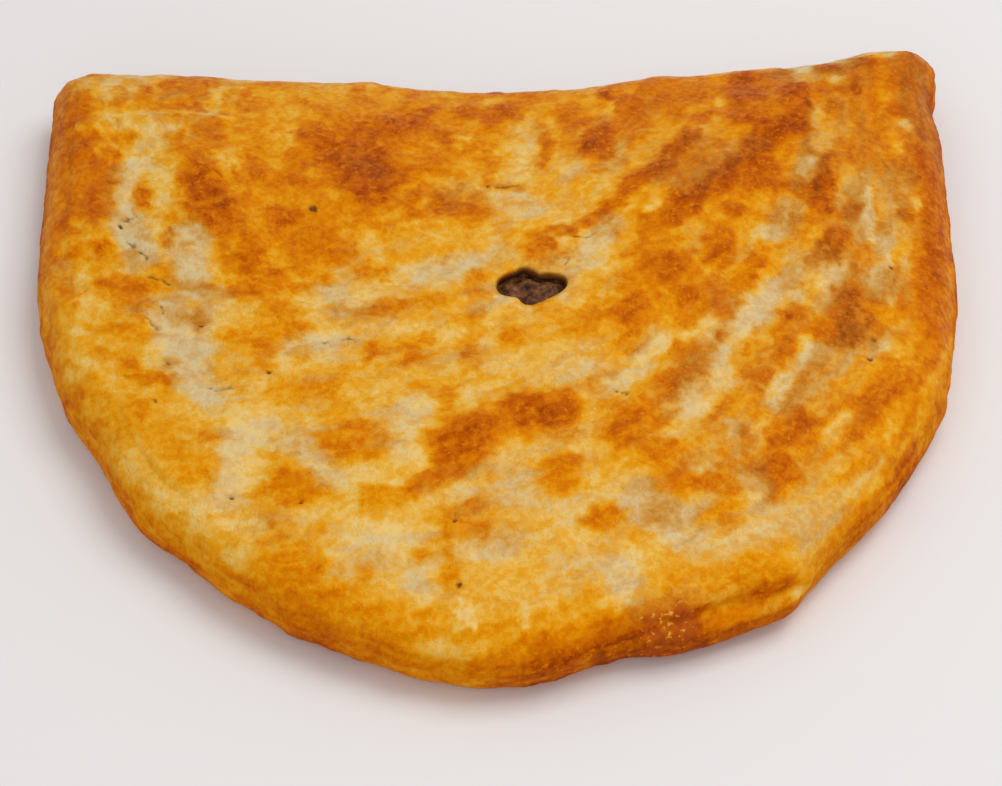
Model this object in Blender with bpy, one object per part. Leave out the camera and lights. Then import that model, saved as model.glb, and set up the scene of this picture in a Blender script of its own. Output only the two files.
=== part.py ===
"""A puff pastry meat pie: a D-shaped crust baked golden brown, and the meat filling inside it.

The crust is one closed shell. Its lid is browned and uneven, its edge is rolled under all round,
its back corners are pinched, and a torn steam vent near the middle of the lid opens the shell.
The filling runs through the whole pie under the lid and shows in the vent.

Seen from above, the bowed side is the front (-Y) and the nearly straight side is the back (+Y).
The pie lies on z = 0, and the origin is under the middle of its outline.
"""

import bmesh
import bpy
import numpy as np
from mathutils import Matrix, Vector

# ---- Driving sizes, in millimetres -------------------------------------------------------------

MM = 0.001                    # metres in a millimetre

HALF_WIDTH = 150.0            # middle to either side
FRONT_Y = -131.5              # foremost point of the bow
BOW_Y = 33.0                  # where the bow meets the straight sides
BOW_LEFT = 1.74               # exponent of the bow's left half: under 2 is flatter than an ellipse
BOW_RIGHT = 2.0               # exponent of its right half
BACK_MIDDLE = 112.5           # the back edge where it dips most
BACK_LEFT = 122.0             # the back edge at the left corner
BACK_RIGHT = 132.0            # the back edge at the right corner, which is kicked back
BACK_RISE = 12.5              # how far the back edge climbs before the right corner's kick
BACK_RISE_END = 115.0         # x where that climb ends
KICK_START = 104.0            # x where the right corner's kick starts
KICK_RUN = 28.0               # its length along the edge
CORNER_LEFT = 15.0            # radius of the left back corner
CORNER_RIGHT = 12.0           # radius of the right back corner

CROWN_HEIGHT = 35.5           # lid height in the middle of the pie
EDGE_HEIGHT = 26.5            # height of the rolled edge
WAIST_HEIGHT = 12.0           # height at which the side is widest
EDGE_ROLL = 14.0              # how far in the upper edge rolls
ROLL_END = np.radians(74.0)   # turn at which the roll runs on into the lid
FOOT_ROLL = 9.0               # how far in the lower edge rolls
CROWN_RUN = 72.0              # how far in from the rolled edge the lid reaches its full height
LEAN_REACH = 14.0             # how far along the edge its outward direction is eased

LID_THICKNESS = 4.0
WALL_THICKNESS = 7.0
SHOULDER_INSET = 8.0          # how far in from the lid's edge the space under it starts
FLOOR_THICKNESS = 4.0
CLEARANCE = 0.5               # between the filling and the crust round it

VENT_CENTRE = (11.0, 6.5)
VENT_HALF_LENGTH = 10.6
VENT_HALF_WIDTH = 7.9
VENT_LIP = 0.9                # how far the vent's upper lip is rounded over
MOUTH_UNDERCUT = 0.4          # how much wider the vent is on the lid's underside

# The side of the space inside the crust, as (further in than the wall's thickness, height).
CAVITY_SIDE = ((4.0, 20.5), (0.0, 15.0), (1.0, 8.5), (5.0, FLOOR_THICKNESS))

# The filling's top in the vent, as (share of the vent's width, height above the lid's underside).
FILLING_TOP = ((0.3, 0.6), (0.6, 0.5), (0.85, -0.3))
FILLING_LUMP = 1.5            # how far the highest piece of meat stands above that
MEAT_PIECES = ((6.0, 8.5, 2.6), (12.0, 3.0, 2.8), (17.0, 8.0, 2.6), (11.0, 10.5, 2.4))

# ---- Resolution --------------------------------------------------------------------------------

OUTER_COUNT = 120             # points round the rolled edge and the outer lid
TURN_WEIGHT = 30.0            # extra length given to a full radian of turn, so corners get more points
EDGE_STEPS = 5                # rings over the rolled upper edge
FOOT_STEPS = 3                # rings over the rolled lower edge
OUTER_LID_STEPS = 12
INNER_LID_STEPS = 11
OUTER_LID_SHARE = 0.56        # share of the way to the vent that the finer lid rings cover
LIP_SHARE = 0.985             # share of the way at which the lid turns over into the vent
FLOOR_SHARES = (0.5, 0.82)    # rings of the underside and of the floor, as a share of their size
CEILING_SHARES = (0.0, 0.12, 0.3, 0.5, 0.7, 0.87, 1.0)    # rings under the lid, from the vent out
DRAFT_POINTS = 720            # points of the outline before it is thinned
TRACE_POINTS = 360            # points of the outline that distances are taken from

# ---- Uneven places, as (x, y, width, out): where, how wide, and how far the edge stands out -----

EDGE_BUMPS = (
    (90, -101, 12, 3.2), (62, -117, 16, -1.4), (39, -124, 19, -5.2), (140, -29, 12, 1.6),
    (-84, -96, 18, 1.6), (-109, -73, 13, 3.0), (-120, -60, 8, 1.4), (-132, -45, 10, -1.2),
    (-62, -112, 9, 1.4), (-24, -126, 8, 1.2), (-7, -131, 8, 1.2), (150, 0, 26, 0.2),
    (-148, 20, 30, -1.2), (14, 111, 26, 0.8), (55, 117, 14, 1.8), (86, 121, 13, 1.4),
    (-45, 113, 16, 1.4), (-103, 118, 12, 1.0), (-146, 112, 10, 1.6), (147, 126, 9, 2.4),
    (150, 106, 6, -1.8),
)

# Higher and lower stretches of the rolled edge, as (x, y, half width, height).
EDGE_RISES = (
    (136, 118, 26, 2.4), (-136, 104, 26, 1.8), (-2, -124, 46, -1.8), (-112, -50, 30, 1.4),
    (44, 110, 30, 0.8), (140, -5, 32, 1.0), (-72, 112, 28, 0.8), (84, -96, 24, 0.8),
)

# The vent's torn lobes, as (direction in degrees, half spread in degrees, out).
VENT_LOBES = ((18, 22, 2.3), (58, 20, -1.3), (105, 16, 1.3), (-88, 26, 0.9), (-130, 24, -1.9),
              (165, 30, 0.6), (-38, 20, -0.7))

# Long swells and furrows of the lid, as (x0, y0, x1, y1, half width, height).
LID_SWELLS = (
    (-45, 85, -45, 50, 16, 1.5), (-97, 70, -82, 32, 12, 1.3), (48, 42, 98, 96, 10, 1.6),
    (38, 50, 64, 80, 8, 0.8), (108, 72, 108, 34, 9, 1.0), (110, -4, 108, -16, 9, 0.9),
    (-36, -76, -6, -56, 10, 1.5), (-4, -50, 26, -38, 9, 1.3), (42, -44, 42, -56, 9, 0.9),
    (20, -62, 20, -74, 8, 0.9), (-60, -62, -32, -46, 11, 1.0), (-100, -62, -86, -56, 18, 1.4),
    (-138, 78, -130, 30, 10, 1.2), (88, -50, 120, -22, 10, 1.0), (-46, -2, -14, 5, 7, 0.7),
    (60, 20, 78, 42, 13, 0.9), (-62, -82, -58, -74, 9, 0.8), (-12, -90, -4, -84, 8, 0.7),
    (-119, 78, -113, 44, 7, -1.3), (-122, 30, -106, -4, 8, -1.2), (-98, -10, -86, -40, 8, -1.3),
    (-62, 2, -4, 20, 7, -1.2), (34, -36, 60, -6, 6, -1.2), (60, -50, 92, 6, 6, -1.3),
    (82, -62, 118, -12, 6, -1.1), (-70, -46, -80, -84, 9, -1.4), (8, 84, 12, 52, 8, -0.8),
    (-24, -74, 4, -64, 5, -0.8), (24, 18, 42, 30, 7, -0.7), (50, -80, 58, -88, 6, -0.7),
)

# Narrow pinched seams and creases of the pastry sheet, in the same form.
LID_SEAMS = (
    (-145, 87, -91, 86.5, 3.0, 1.4), (-137, 80.5, -98, 79.5, 3.0, -0.8), (120.5, 54, 120.5, 30, 2.6, 1.1),
    (125.5, 30, 125, 2, 2.6, 1.1), (-146, 24, -124, 28, 2.5, -1.1), (128, 96, 148, 106, 3.0, -1.2),
    (104, 118, 112, 104, 3.0, -1.0),
)

# The turned-under sheet that stands out below the crease at the front right.
TUCK_START = (55.0, -118.0)
TUCK_END = (84.0, -107.0)
TUCK_FADE = 14.0              # how far along the edge the tuck takes to die away
TUCK_REACH = 2.0              # how far its lip stands out
TUCK_CREASE = 1.3             # how deep the crease above it is
TUCK_HEIGHT = 16.0            # where the crease runs on the side
TUCK_STEP = 3.0               # height over which the lip turns into the crease


# ---- Shape functions ---------------------------------------------------------------------------

def ease(t):
    """Smooth step from 0 to 1 while t goes from 0 to 1."""
    t = np.clip(t, 0.0, 1.0)
    return t * t * (3.0 - 2.0 * t)


def bell(t):
    """1 at t = 0, falling smoothly to nearly 0 beyond t = 2."""
    return np.exp(-t * t)


def distance_to_line(points, x0, y0, x1, y1):
    """Distance in plan from each point to the straight stretch from (x0, y0) to (x1, y1)."""
    start = np.array((x0, y0), float)
    along = np.array((x1, y1), float) - start
    share = np.clip((points[:, :2] - start) @ along / (along @ along), 0.0, 1.0)
    return np.linalg.norm(points[:, :2] - start - share[:, None] * along, axis=1)


def bow_quarter(side, exponent, turn):
    """Half of the bowed front, a superellipse quarter; side is -1 on the left and 1 on the right."""
    x = side * HALF_WIDTH * np.abs(np.cos(turn)) ** (2.0 / exponent)
    y = BOW_Y - (BOW_Y - FRONT_Y) * np.abs(np.sin(turn)) ** (2.0 / exponent)
    return np.column_stack((x, y))


def back_corner(centre_x, centre_y, radius, first, last):
    """A rounded back corner, as an arc from the direction first to the direction last, in degrees."""
    turn = np.radians(np.linspace(first, last, 30))
    return np.column_stack((centre_x + radius * np.cos(turn), centre_y + radius * np.sin(turn)))


def back_edge(x):
    """The long back edge, dipped in the middle and kicked back at the right corner."""
    left = (BACK_LEFT - BACK_MIDDLE) * np.clip(-x / (HALF_WIDTH - CORNER_LEFT), 0.0, 1.0)
    climb = BACK_RISE * ease(x / BACK_RISE_END)
    kick = (BACK_RIGHT - BACK_MIDDLE - BACK_RISE) * ease((x - KICK_START) / KICK_RUN)
    return np.column_stack((x, BACK_MIDDLE + left + climb + kick))


def resample(points, count, turn_weight=0.0):
    """Space count points along a closed line, closer together where it turns."""
    closed = np.vstack((points, points[:1]))
    step = np.diff(closed, axis=0)
    length = np.hypot(step[:, 0], step[:, 1])
    heading = np.unwrap(np.arctan2(step[:, 1], step[:, 0]))
    turn = np.abs(np.roll(heading, -1) - heading)
    turn[-1] = turn[-2]
    travelled = np.concatenate(([0.0], np.cumsum(length + turn_weight * turn)))
    wanted = np.linspace(0.0, travelled[-1], count, endpoint=False)
    x = np.interp(wanted, travelled, closed[:, 0])
    y = np.interp(wanted, travelled, closed[:, 1])
    return np.column_stack((x, y))


def smooth(points, passes):
    """Ease a closed line's points towards their neighbours."""
    for _ in range(passes):
        points = (np.roll(points, 1, axis=0) + 2.0 * points + np.roll(points, -1, axis=0)) / 4.0
    return points


def outward(points):
    """Unit normals of a closed line that runs anticlockwise."""
    along = np.roll(points, -1, axis=0) - np.roll(points, 1, axis=0)
    along /= np.linalg.norm(along, axis=1)[:, None]
    return np.column_stack((along[:, 1], -along[:, 0]))


def outline():
    """The pie's widest line seen from above, anticlockwise from its left side."""
    turn = np.radians(np.linspace(0.0, 90.0, 200))
    right_x = HALF_WIDTH - CORNER_RIGHT
    left_x = HALF_WIDTH - CORNER_LEFT
    pieces = (
        bow_quarter(-1, BOW_LEFT, turn),
        bow_quarter(1, BOW_RIGHT, turn[::-1]),
        back_corner(right_x, BACK_RIGHT - CORNER_RIGHT, CORNER_RIGHT, 0, 90),
        back_edge(np.linspace(right_x, -left_x, 120)),
        back_corner(-left_x, BACK_LEFT - CORNER_LEFT, CORNER_LEFT, 90, 180),
    )
    line = smooth(resample(np.vstack(pieces), DRAFT_POINTS), 10)
    out = np.zeros(len(line))
    for x, y, width, height in EDGE_BUMPS:
        out += height * bell(np.hypot(line[:, 0] - x, line[:, 1] - y) / width)
    return line + out[:, None] * outward(line)


def vent_radius(direction):
    """The vent's reach from its centre, for each direction in radians."""
    across = np.hypot(np.cos(direction) / VENT_HALF_LENGTH, np.sin(direction) / VENT_HALF_WIDTH)
    reach = 1.0 / across
    for middle, spread, out in VENT_LOBES:
        turned = (np.degrees(direction) - middle + 180.0) % 360.0 - 180.0
        reach += out * bell(turned / spread)
    return reach


def lid_relief(points):
    """Height of the swells, furrows and seams at each point of the lid."""
    relief = np.zeros(len(points))
    for x0, y0, x1, y1, width, height in LID_SWELLS + LID_SEAMS:
        relief += height * bell(distance_to_line(points, x0, y0, x1, y1) / width)
    return relief


def edge_height(points):
    """Height of the rolled edge beside each point."""
    height = np.full(len(points), EDGE_HEIGHT)
    for x, y, width, rise in EDGE_RISES:
        height += rise * bell(np.hypot(points[:, 0] - x, points[:, 1] - y) / width)
    return height


def inset_from_edge(points):
    """Distance in from the widest line, rounded off in the corners so that the lid has no ridges.

    Beside a straight edge, the edge's pull of 1 / gap^4 adds up to pi / (2 distance^3).
    """
    gaps = np.linalg.norm(points[:, None, :2] - TRACE[None, :, :], axis=2)
    spacing = np.linalg.norm(TRACE - np.roll(TRACE, 1, axis=0), axis=1)
    pull = (spacing / gaps ** 4).sum(axis=1)
    return (2.0 / np.pi * pull) ** (-1.0 / 3.0)


def crown(points):
    """Height of the smooth lid, which climbs from the rolled edge to the middle."""
    inset = inset_from_edge(points) - EDGE_ROLL * (1.0 - np.cos(ROLL_END))
    short = 1.0 - np.clip(inset / CROWN_RUN, 0.0, 1.0)
    base = WAIST_HEIGHT + (edge_height(points) - WAIST_HEIGHT) * np.sin(ROLL_END)
    return base + (CROWN_HEIGHT - base) * (1.0 - short * short)


def lean(points):
    """The outward direction at points of the edge, eased round the corners so that insets don't cross."""
    gaps = np.linalg.norm(points[:, None, :2] - TRACE[None, :, :], axis=2)
    direction = bell(gaps / LEAN_REACH) @ outward(TRACE)
    return direction / np.linalg.norm(direction, axis=1)[:, None]


def tuck(points):
    """1 along the turned-under sheet at the front right, fading to 0 past its ends."""
    return ease(1.2 - distance_to_line(points, *TUCK_START, *TUCK_END) / TUCK_FADE)


TRACE = resample(outline(), TRACE_POINTS)


# ---- Rings, each an array of points in millimetres ---------------------------------------------

def rolled_ring(line, turn, height, roll):
    """A ring of the rolled edge: turn is 0 at the widest line and 90 degrees at height."""
    inset = roll * (1.0 - np.cos(turn))
    z = WAIST_HEIGHT + (height - WAIST_HEIGHT) * np.sin(turn)
    lip = TUCK_REACH * ease((TUCK_HEIGHT - z) / TUCK_STEP) * ease(z / TUCK_STEP)
    crease = TUCK_CREASE * bell((z - TUCK_HEIGHT - 1.0) / TUCK_STEP)
    plan = line + (tuck(line) * (lip - crease) - inset)[:, None] * lean(line)
    return at_height(plan, z)


def upper_edge_ring(line, turn):
    """A ring of the upper edge, between the widest line and the lid."""
    return rolled_ring(line, turn, edge_height(line), EDGE_ROLL)


def foot_ring(line, turn):
    """A ring of the lower edge, between the widest line and the underside."""
    return rolled_ring(line, turn, 0.0, FOOT_ROLL)


def vent_ring(line, inset):
    """The vent's shape drawn in by inset, with a point facing each point of the line, at z = 0."""
    toward = line - np.array(VENT_CENTRE)
    direction = np.arctan2(toward[:, 1], toward[:, 0])
    reach = vent_radius(direction) - inset
    x = VENT_CENTRE[0] + reach * np.cos(direction)
    y = VENT_CENTRE[1] + reach * np.sin(direction)
    return np.column_stack((x, y, np.zeros(len(line))))


def lid_ring(line, share):
    """A ring of the lid, share of the way from the rolled edge to the vent's rim."""
    edge = upper_edge_ring(line, ROLL_END)
    ring = edge + share * (vent_ring(line, 0.0) - edge)
    return at_height(ring, crown(ring) + lid_relief(ring) * ease(inset_from_edge(ring) / EDGE_ROLL))


def at_height(ring, z):
    """The same ring at another height."""
    return np.column_stack((ring[:, :2], np.broadcast_to(z, len(ring))))


def shrunk(ring, share, z):
    """A ring drawn towards the vent's centre, to share of its size."""
    plan = np.array(VENT_CENTRE) + share * (ring[:, :2] - np.array(VENT_CENTRE))
    return at_height(plan, z)


def cavity_rings(line, spare):
    """Rings of the space inside the crust, from the vent's mouth out, down and back to its floor.

    The crust's inner face has no spare. The filling's face is drawn in by the clearance.
    """
    edge = upper_edge_ring(line, ROLL_END)
    mouth = vent_ring(line, spare - MOUTH_UNDERCUT)
    span = mouth - edge
    reach = np.linalg.norm(span[:, :2], axis=1)[:, None]
    shoulder = edge + span * (SHOULDER_INSET + spare) / reach
    rings = []
    for share in CEILING_SHARES:
        ring = mouth + share * (shoulder - mouth)
        rings.append(at_height(ring, crown(ring) - LID_THICKNESS - spare))
    for inset, z in CAVITY_SIDE:
        lift = -spare if z > WAIST_HEIGHT else spare
        plan = line - (WALL_THICKNESS + inset + spare) * lean(line)
        rings.append(at_height(plan, z + lift))
    floor = rings[-1]
    for share in reversed(FLOOR_SHARES):
        rings.append(shrunk(floor, share, FLOOR_THICKNESS + spare))
    return rings


def filling_lumps(points):
    """Pieces of meat that stand up in the vent, from 0 between them to 1 on top of one."""
    lumps = np.zeros(len(points))
    for x, y, width in MEAT_PIECES:
        lumps = np.maximum(lumps, bell(np.hypot(points[:, 0] - x, points[:, 1] - y) / width))
    return lumps


# ---- Meshes ------------------------------------------------------------------------------------

class RingMesh:
    """A closed surface laid ring by ring, from one point to another."""

    def __init__(self, tip):
        self.mesh = bmesh.new()
        self.last = [self.mesh.verts.new(np.array(tip) * MM)]

    def add_ring(self, ring):
        """Add a ring and join it to the one before, which may have twice or half its points."""
        fresh = [self.mesh.verts.new(point * MM) for point in ring]
        if len(self.last) == 1:
            self.join_fan(fresh, self.last[0])
        elif len(self.last) == len(fresh):
            self.join_equal(self.last, fresh)
        elif len(self.last) > len(fresh):
            self.join_halved(self.last, fresh)
        else:
            self.join_halved(fresh, self.last)
        self.last = fresh

    def end(self, tip):
        """Close the surface with a fan from the last ring to one point."""
        self.join_fan(self.last, self.mesh.verts.new(np.array(tip) * MM))

    def join_fan(self, ring, tip):
        """Join a ring to one point."""
        for index, vert in enumerate(ring):
            self.mesh.faces.new((vert, ring[(index + 1) % len(ring)], tip))

    def join_equal(self, first, second):
        """Join rings of as many points, splitting each quad along its shorter diagonal."""
        count = len(first)
        for index in range(count):
            a, b = first[index], first[(index + 1) % count]
            c, d = second[(index + 1) % count], second[index]
            if (a.co - c.co).length <= (b.co - d.co).length:
                self.mesh.faces.new((a, b, c))
                self.mesh.faces.new((a, c, d))
            else:
                self.mesh.faces.new((a, b, d))
                self.mesh.faces.new((b, c, d))

    def join_halved(self, fine, coarse):
        """Join a ring to one with half its points, three triangles to each coarse point."""
        count = len(coarse)
        for index in range(count):
            near, far = coarse[index], coarse[(index + 1) % count]
            first, middle = fine[2 * index], fine[2 * index + 1]
            last = fine[(2 * index + 2) % len(fine)]
            self.mesh.faces.new((first, middle, near))
            self.mesh.faces.new((middle, far, near))
            self.mesh.faces.new((middle, last, far))

    def finish(self, name, material):
        """Turn the surface into a smooth-shaded object with its faces pointing out."""
        bmesh.ops.recalc_face_normals(self.mesh, faces=self.mesh.faces)
        data = bpy.data.meshes.new(name)
        self.mesh.to_mesh(data)
        self.mesh.free()
        data.shade_smooth()
        data.set_sharp_from_angle(angle=np.radians(60.0))
        data.materials.append(material)
        made = bpy.data.objects.new(name, data)
        bpy.context.scene.collection.objects.link(made)
        return made


def make_material(name, colour, roughness):
    """A plain Principled finish."""
    material = bpy.data.materials.new(name)
    material.use_nodes = True
    shader = material.node_tree.nodes["Principled BSDF"]
    shader.inputs["Base Color"].default_value = (*colour, 1.0)
    shader.inputs["Roughness"].default_value = roughness
    shader.inputs["Metallic"].default_value = 0.0
    return material


def make_crust(line, material):
    """The pastry: underside, rolled edge, lid, vent, and the faces of the space inside."""
    coarse = line[::2]
    surface = RingMesh((*VENT_CENTRE, 0.0))
    for share in FLOOR_SHARES:
        surface.add_ring(shrunk(foot_ring(coarse, np.pi / 2.0), share, 0.0))
    for turn in np.linspace(np.pi / 2.0, 0.0, FOOT_STEPS, endpoint=False):
        surface.add_ring(foot_ring(line, turn))
    for turn in np.linspace(0.0, ROLL_END, EDGE_STEPS, endpoint=False):
        surface.add_ring(upper_edge_ring(line, turn))
    for share in np.linspace(0.0, OUTER_LID_SHARE, OUTER_LID_STEPS + 1):
        surface.add_ring(lid_ring(line, share))
    for share in np.linspace(OUTER_LID_SHARE, LIP_SHARE, INNER_LID_STEPS + 1)[1:]:
        surface.add_ring(lid_ring(coarse, share))
    rim = lid_ring(coarse, 1.0)
    surface.add_ring(at_height(rim, rim[:, 2] - 0.45 * VENT_LIP))
    throat = vent_ring(coarse, VENT_LIP)
    surface.add_ring(at_height(throat, rim[:, 2] - 1.6 * VENT_LIP))
    for ring in cavity_rings(coarse, 0.0):
        surface.add_ring(ring)
    surface.end((*VENT_CENTRE, FLOOR_THICKNESS))
    return surface.finish("crust", material)


def make_filling(line, material):
    """The meat, which fills the crust up to its lid and is lumpy where the vent shows it."""
    coarse = line[::2]
    mouth = cavity_rings(coarse, CLEARANCE)[0][::2]
    surface = RingMesh((*VENT_CENTRE, mouth[:, 2].mean() + FILLING_TOP[0][1]))
    for share, rise in FILLING_TOP:
        ring = shrunk(mouth, share, mouth[:, 2] + rise)
        ring[:, 2] += FILLING_LUMP * filling_lumps(ring)
        surface.add_ring(ring)
    for ring in cavity_rings(coarse, CLEARANCE):
        surface.add_ring(ring)
    surface.end((*VENT_CENTRE, FLOOR_THICKNESS + CLEARANCE))
    return surface.finish("filling", material)


def centre_on_origin(objects, leader):
    """Move the meshes so that the leader's outline is centred over the origin and lies on z = 0."""
    corners = np.array([vert.co for vert in leader.data.vertices])
    low, high = corners.min(axis=0), corners.max(axis=0)
    shift = Vector((-(low[0] + high[0]) / 2.0, -(low[1] + high[1]) / 2.0, -low[2]))
    for made in objects:
        made.data.transform(Matrix.Translation(shift))


def clear_scene():
    """Remove every object of the open file."""
    for old in list(bpy.data.objects):
        bpy.data.objects.remove(old, do_unlink=True)


clear_scene()
edge_line = resample(outline(), OUTER_COUNT, TURN_WEIGHT)
crust = make_crust(edge_line, make_material("crust_pastry", (0.70, 0.32, 0.05), 0.5))
filling = make_filling(edge_line, make_material("meat_filling", (0.13, 0.06, 0.03), 0.45))
centre_on_origin((crust, filling), crust)
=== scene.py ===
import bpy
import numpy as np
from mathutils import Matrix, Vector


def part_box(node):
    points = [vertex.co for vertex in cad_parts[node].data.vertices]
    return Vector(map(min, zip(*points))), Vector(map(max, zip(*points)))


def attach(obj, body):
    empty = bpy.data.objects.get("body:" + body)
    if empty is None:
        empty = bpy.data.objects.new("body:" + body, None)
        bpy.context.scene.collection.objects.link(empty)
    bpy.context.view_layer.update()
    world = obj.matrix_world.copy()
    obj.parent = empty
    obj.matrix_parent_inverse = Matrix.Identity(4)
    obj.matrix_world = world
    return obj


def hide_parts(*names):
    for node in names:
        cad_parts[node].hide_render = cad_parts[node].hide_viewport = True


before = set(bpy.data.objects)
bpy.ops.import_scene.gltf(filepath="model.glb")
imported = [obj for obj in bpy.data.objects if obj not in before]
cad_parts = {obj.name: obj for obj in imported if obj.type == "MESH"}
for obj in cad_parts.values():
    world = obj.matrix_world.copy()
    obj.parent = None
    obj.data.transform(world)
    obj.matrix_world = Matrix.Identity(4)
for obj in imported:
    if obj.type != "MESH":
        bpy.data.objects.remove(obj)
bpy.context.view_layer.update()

# A puff pastry meat pie, dressed round its imported solids.
#
# Two pieces replace the two CAD nodes: the browned crust and the meat filling that shows in its
# steam vent. Both repeat the CAD shape with many more points. The crust adds the fine relief:
# blisters, pastry layers, pinholes, cracks and the torn rim of the vent. Its browning is painted
# as strokes placed in plan, which become mesh attributes that its material reads.
#
# Lengths are in millimetres until a mesh is written, and the axes are those of the CAD frame:
# the bowed side is the front (-Y), the nearly straight side is the back (+Y).

MM = 0.001                    # metres in a millimetre

# ---- The crust's driving sizes, the same as the CAD's ----

HALF_WIDTH = 150.0
FRONT_Y = -131.5
BOW_Y = 33.0
BOW_LEFT = 1.74
BOW_RIGHT = 2.0
BACK_MIDDLE = 112.5
BACK_LEFT = 122.0
BACK_RIGHT = 132.0
BACK_RISE = 12.5
BACK_RISE_END = 115.0
KICK_START = 104.0
KICK_RUN = 28.0
CORNER_LEFT = 15.0
CORNER_RIGHT = 12.0

CROWN_HEIGHT = 35.5
EDGE_HEIGHT = 26.5
WAIST_HEIGHT = 12.0
EDGE_ROLL = 14.0
ROLL_END = np.radians(74.0)
FOOT_ROLL = 9.0
CROWN_RUN = 72.0
LEAN_REACH = 14.0

LID_THICKNESS = 4.0
WALL_THICKNESS = 7.0
SHOULDER_INSET = 8.0
FLOOR_THICKNESS = 4.0
CLEARANCE = 0.5

VENT_CENTRE = (11.0, 6.5)
VENT_HALF_LENGTH = 10.6
VENT_HALF_WIDTH = 7.9
VENT_LIP = 0.9
MOUTH_UNDERCUT = 0.4
CAVITY_SIDE = ((4.0, 20.5), (0.0, 15.0), (1.0, 8.5), (5.0, FLOOR_THICKNESS))
FILLING_TOP = ((0.15, 0.6), (0.3, 0.6), (0.45, 0.55), (0.6, 0.5), (0.75, 0.1), (0.85, -0.3),
               (0.93, -0.5))
FILLING_LUMP = 1.5
MEAT_PIECES = ((6.0, 8.5, 2.6), (12.0, 3.0, 2.8), (17.0, 8.0, 2.6), (11.0, 10.5, 2.4))

EDGE_BUMPS = (
    (90, -101, 12, 3.2), (62, -117, 16, -1.4), (39, -124, 19, -5.2), (140, -29, 12, 1.6),
    (-84, -96, 18, 1.6), (-109, -73, 13, 3.0), (-120, -60, 8, 1.4), (-132, -45, 10, -1.2),
    (-62, -112, 9, 1.4), (-24, -126, 8, 1.2), (-7, -131, 8, 1.2), (150, 0, 26, 0.2),
    (-148, 20, 30, -1.2), (14, 111, 26, 0.8), (55, 117, 14, 1.8), (86, 121, 13, 1.4),
    (-45, 113, 16, 1.4), (-103, 118, 12, 1.0), (-146, 112, 10, 1.6), (147, 126, 9, 2.4),
    (150, 106, 6, -1.8),
)
EDGE_RISES = (
    (136, 118, 26, 2.4), (-136, 104, 26, 1.8), (-2, -124, 46, -1.8), (-112, -50, 30, 1.4),
    (44, 110, 30, 0.8), (140, -5, 32, 1.0), (-72, 112, 28, 0.8), (84, -96, 24, 0.8),
)
VENT_LOBES = ((18, 22, 2.3), (58, 20, -1.3), (105, 16, 1.3), (-88, 26, 0.9), (-130, 24, -1.9),
              (165, 30, 0.6), (-38, 20, -0.7))
LID_SWELLS = (
    (-45, 85, -45, 50, 16, 1.5), (-97, 70, -82, 32, 12, 1.3), (48, 42, 98, 96, 10, 1.6),
    (38, 50, 64, 80, 8, 0.8), (108, 72, 108, 34, 9, 1.0), (110, -4, 108, -16, 9, 0.9),
    (-36, -76, -6, -56, 10, 1.5), (-4, -50, 26, -38, 9, 1.3), (42, -44, 42, -56, 9, 0.9),
    (20, -62, 20, -74, 8, 0.9), (-60, -62, -32, -46, 11, 1.0), (-100, -62, -86, -56, 18, 1.4),
    (-138, 78, -130, 30, 10, 1.2), (88, -50, 120, -22, 10, 1.0), (-46, -2, -14, 5, 7, 0.7),
    (60, 20, 78, 42, 13, 0.9), (-62, -82, -58, -74, 9, 0.8), (-12, -90, -4, -84, 8, 0.7),
    (-119, 78, -113, 44, 7, -1.3), (-122, 30, -106, -4, 8, -1.2), (-98, -10, -86, -40, 8, -1.3),
    (-62, 2, -4, 20, 7, -1.2), (34, -36, 60, -6, 6, -1.2), (60, -50, 92, 6, 6, -1.3),
    (82, -62, 118, -12, 6, -1.1), (-70, -46, -80, -84, 9, -1.4), (8, 84, 12, 52, 8, -0.8),
    (-24, -74, 4, -64, 5, -0.8), (24, 18, 42, 30, 7, -0.7), (50, -80, 58, -88, 6, -0.7),
)
LID_SEAMS = (
    (-145, 87, -91, 86.5, 3.0, 1.4), (-137, 80.5, -98, 79.5, 3.0, -0.8),
    (120.5, 54, 120.5, 30, 2.6, 1.1), (125.5, 30, 125, 2, 2.6, 1.1),
    (-146, 24, -124, 28, 2.5, -1.1), (128, 96, 148, 106, 3.0, -1.2), (104, 118, 112, 104, 3.0, -1.0),
)
TUCK_START = (55.0, -118.0)
TUCK_END = (84.0, -107.0)
TUCK_FADE = 14.0
TUCK_FADE_END = 1.2
TUCK_REACH = 2.0
TUCK_CREASE = 1.3
TUCK_CREASE_RISE = 1.0
TUCK_HEIGHT = 16.0
TUCK_STEP = 3.0

BOW_POINTS = 200
BACK_POINTS = 120
CORNER_POINTS = 30
DRAFT_POINTS = 720
DRAFT_PASSES = 10
TRACE_POINTS = 360
TURN_WEIGHT = 30.0

# ---- Resolution of the dressed crust ----

OUTER_COUNT = 840             # points round the edge
FOOT_STEPS = 8
EDGE_STEPS = 24
FLOOR_SHARES = (0.2, 0.4, 0.6, 0.75)
FOOT_SHARES = (0.88, 0.96)    # rings under the foot, with a quarter and half of the points
CEILING_SHARES = (0.0, 0.12, 0.3, 0.5, 0.7, 0.87, 1.0)

# Rings of the lid with all, half and a quarter of the points, as (share of the way to the vent at
# which they start, share at which they end, steps).
LID_ZONES = ((0.0, 0.4, 44), (0.4, 0.72, 36), (0.72, 0.985, 32))

# The vent's torn wall, as (share of VENT_LIP that it stands in from the rim, depth below the rim).
VENT_WALL = ((0.0, 0.45), (0.35, 0.9), (0.7, 1.4), (0.9, 2.1), (0.8, 2.8), (0.5, 3.4))

# ---- Fine relief, in millimetres ----

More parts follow.
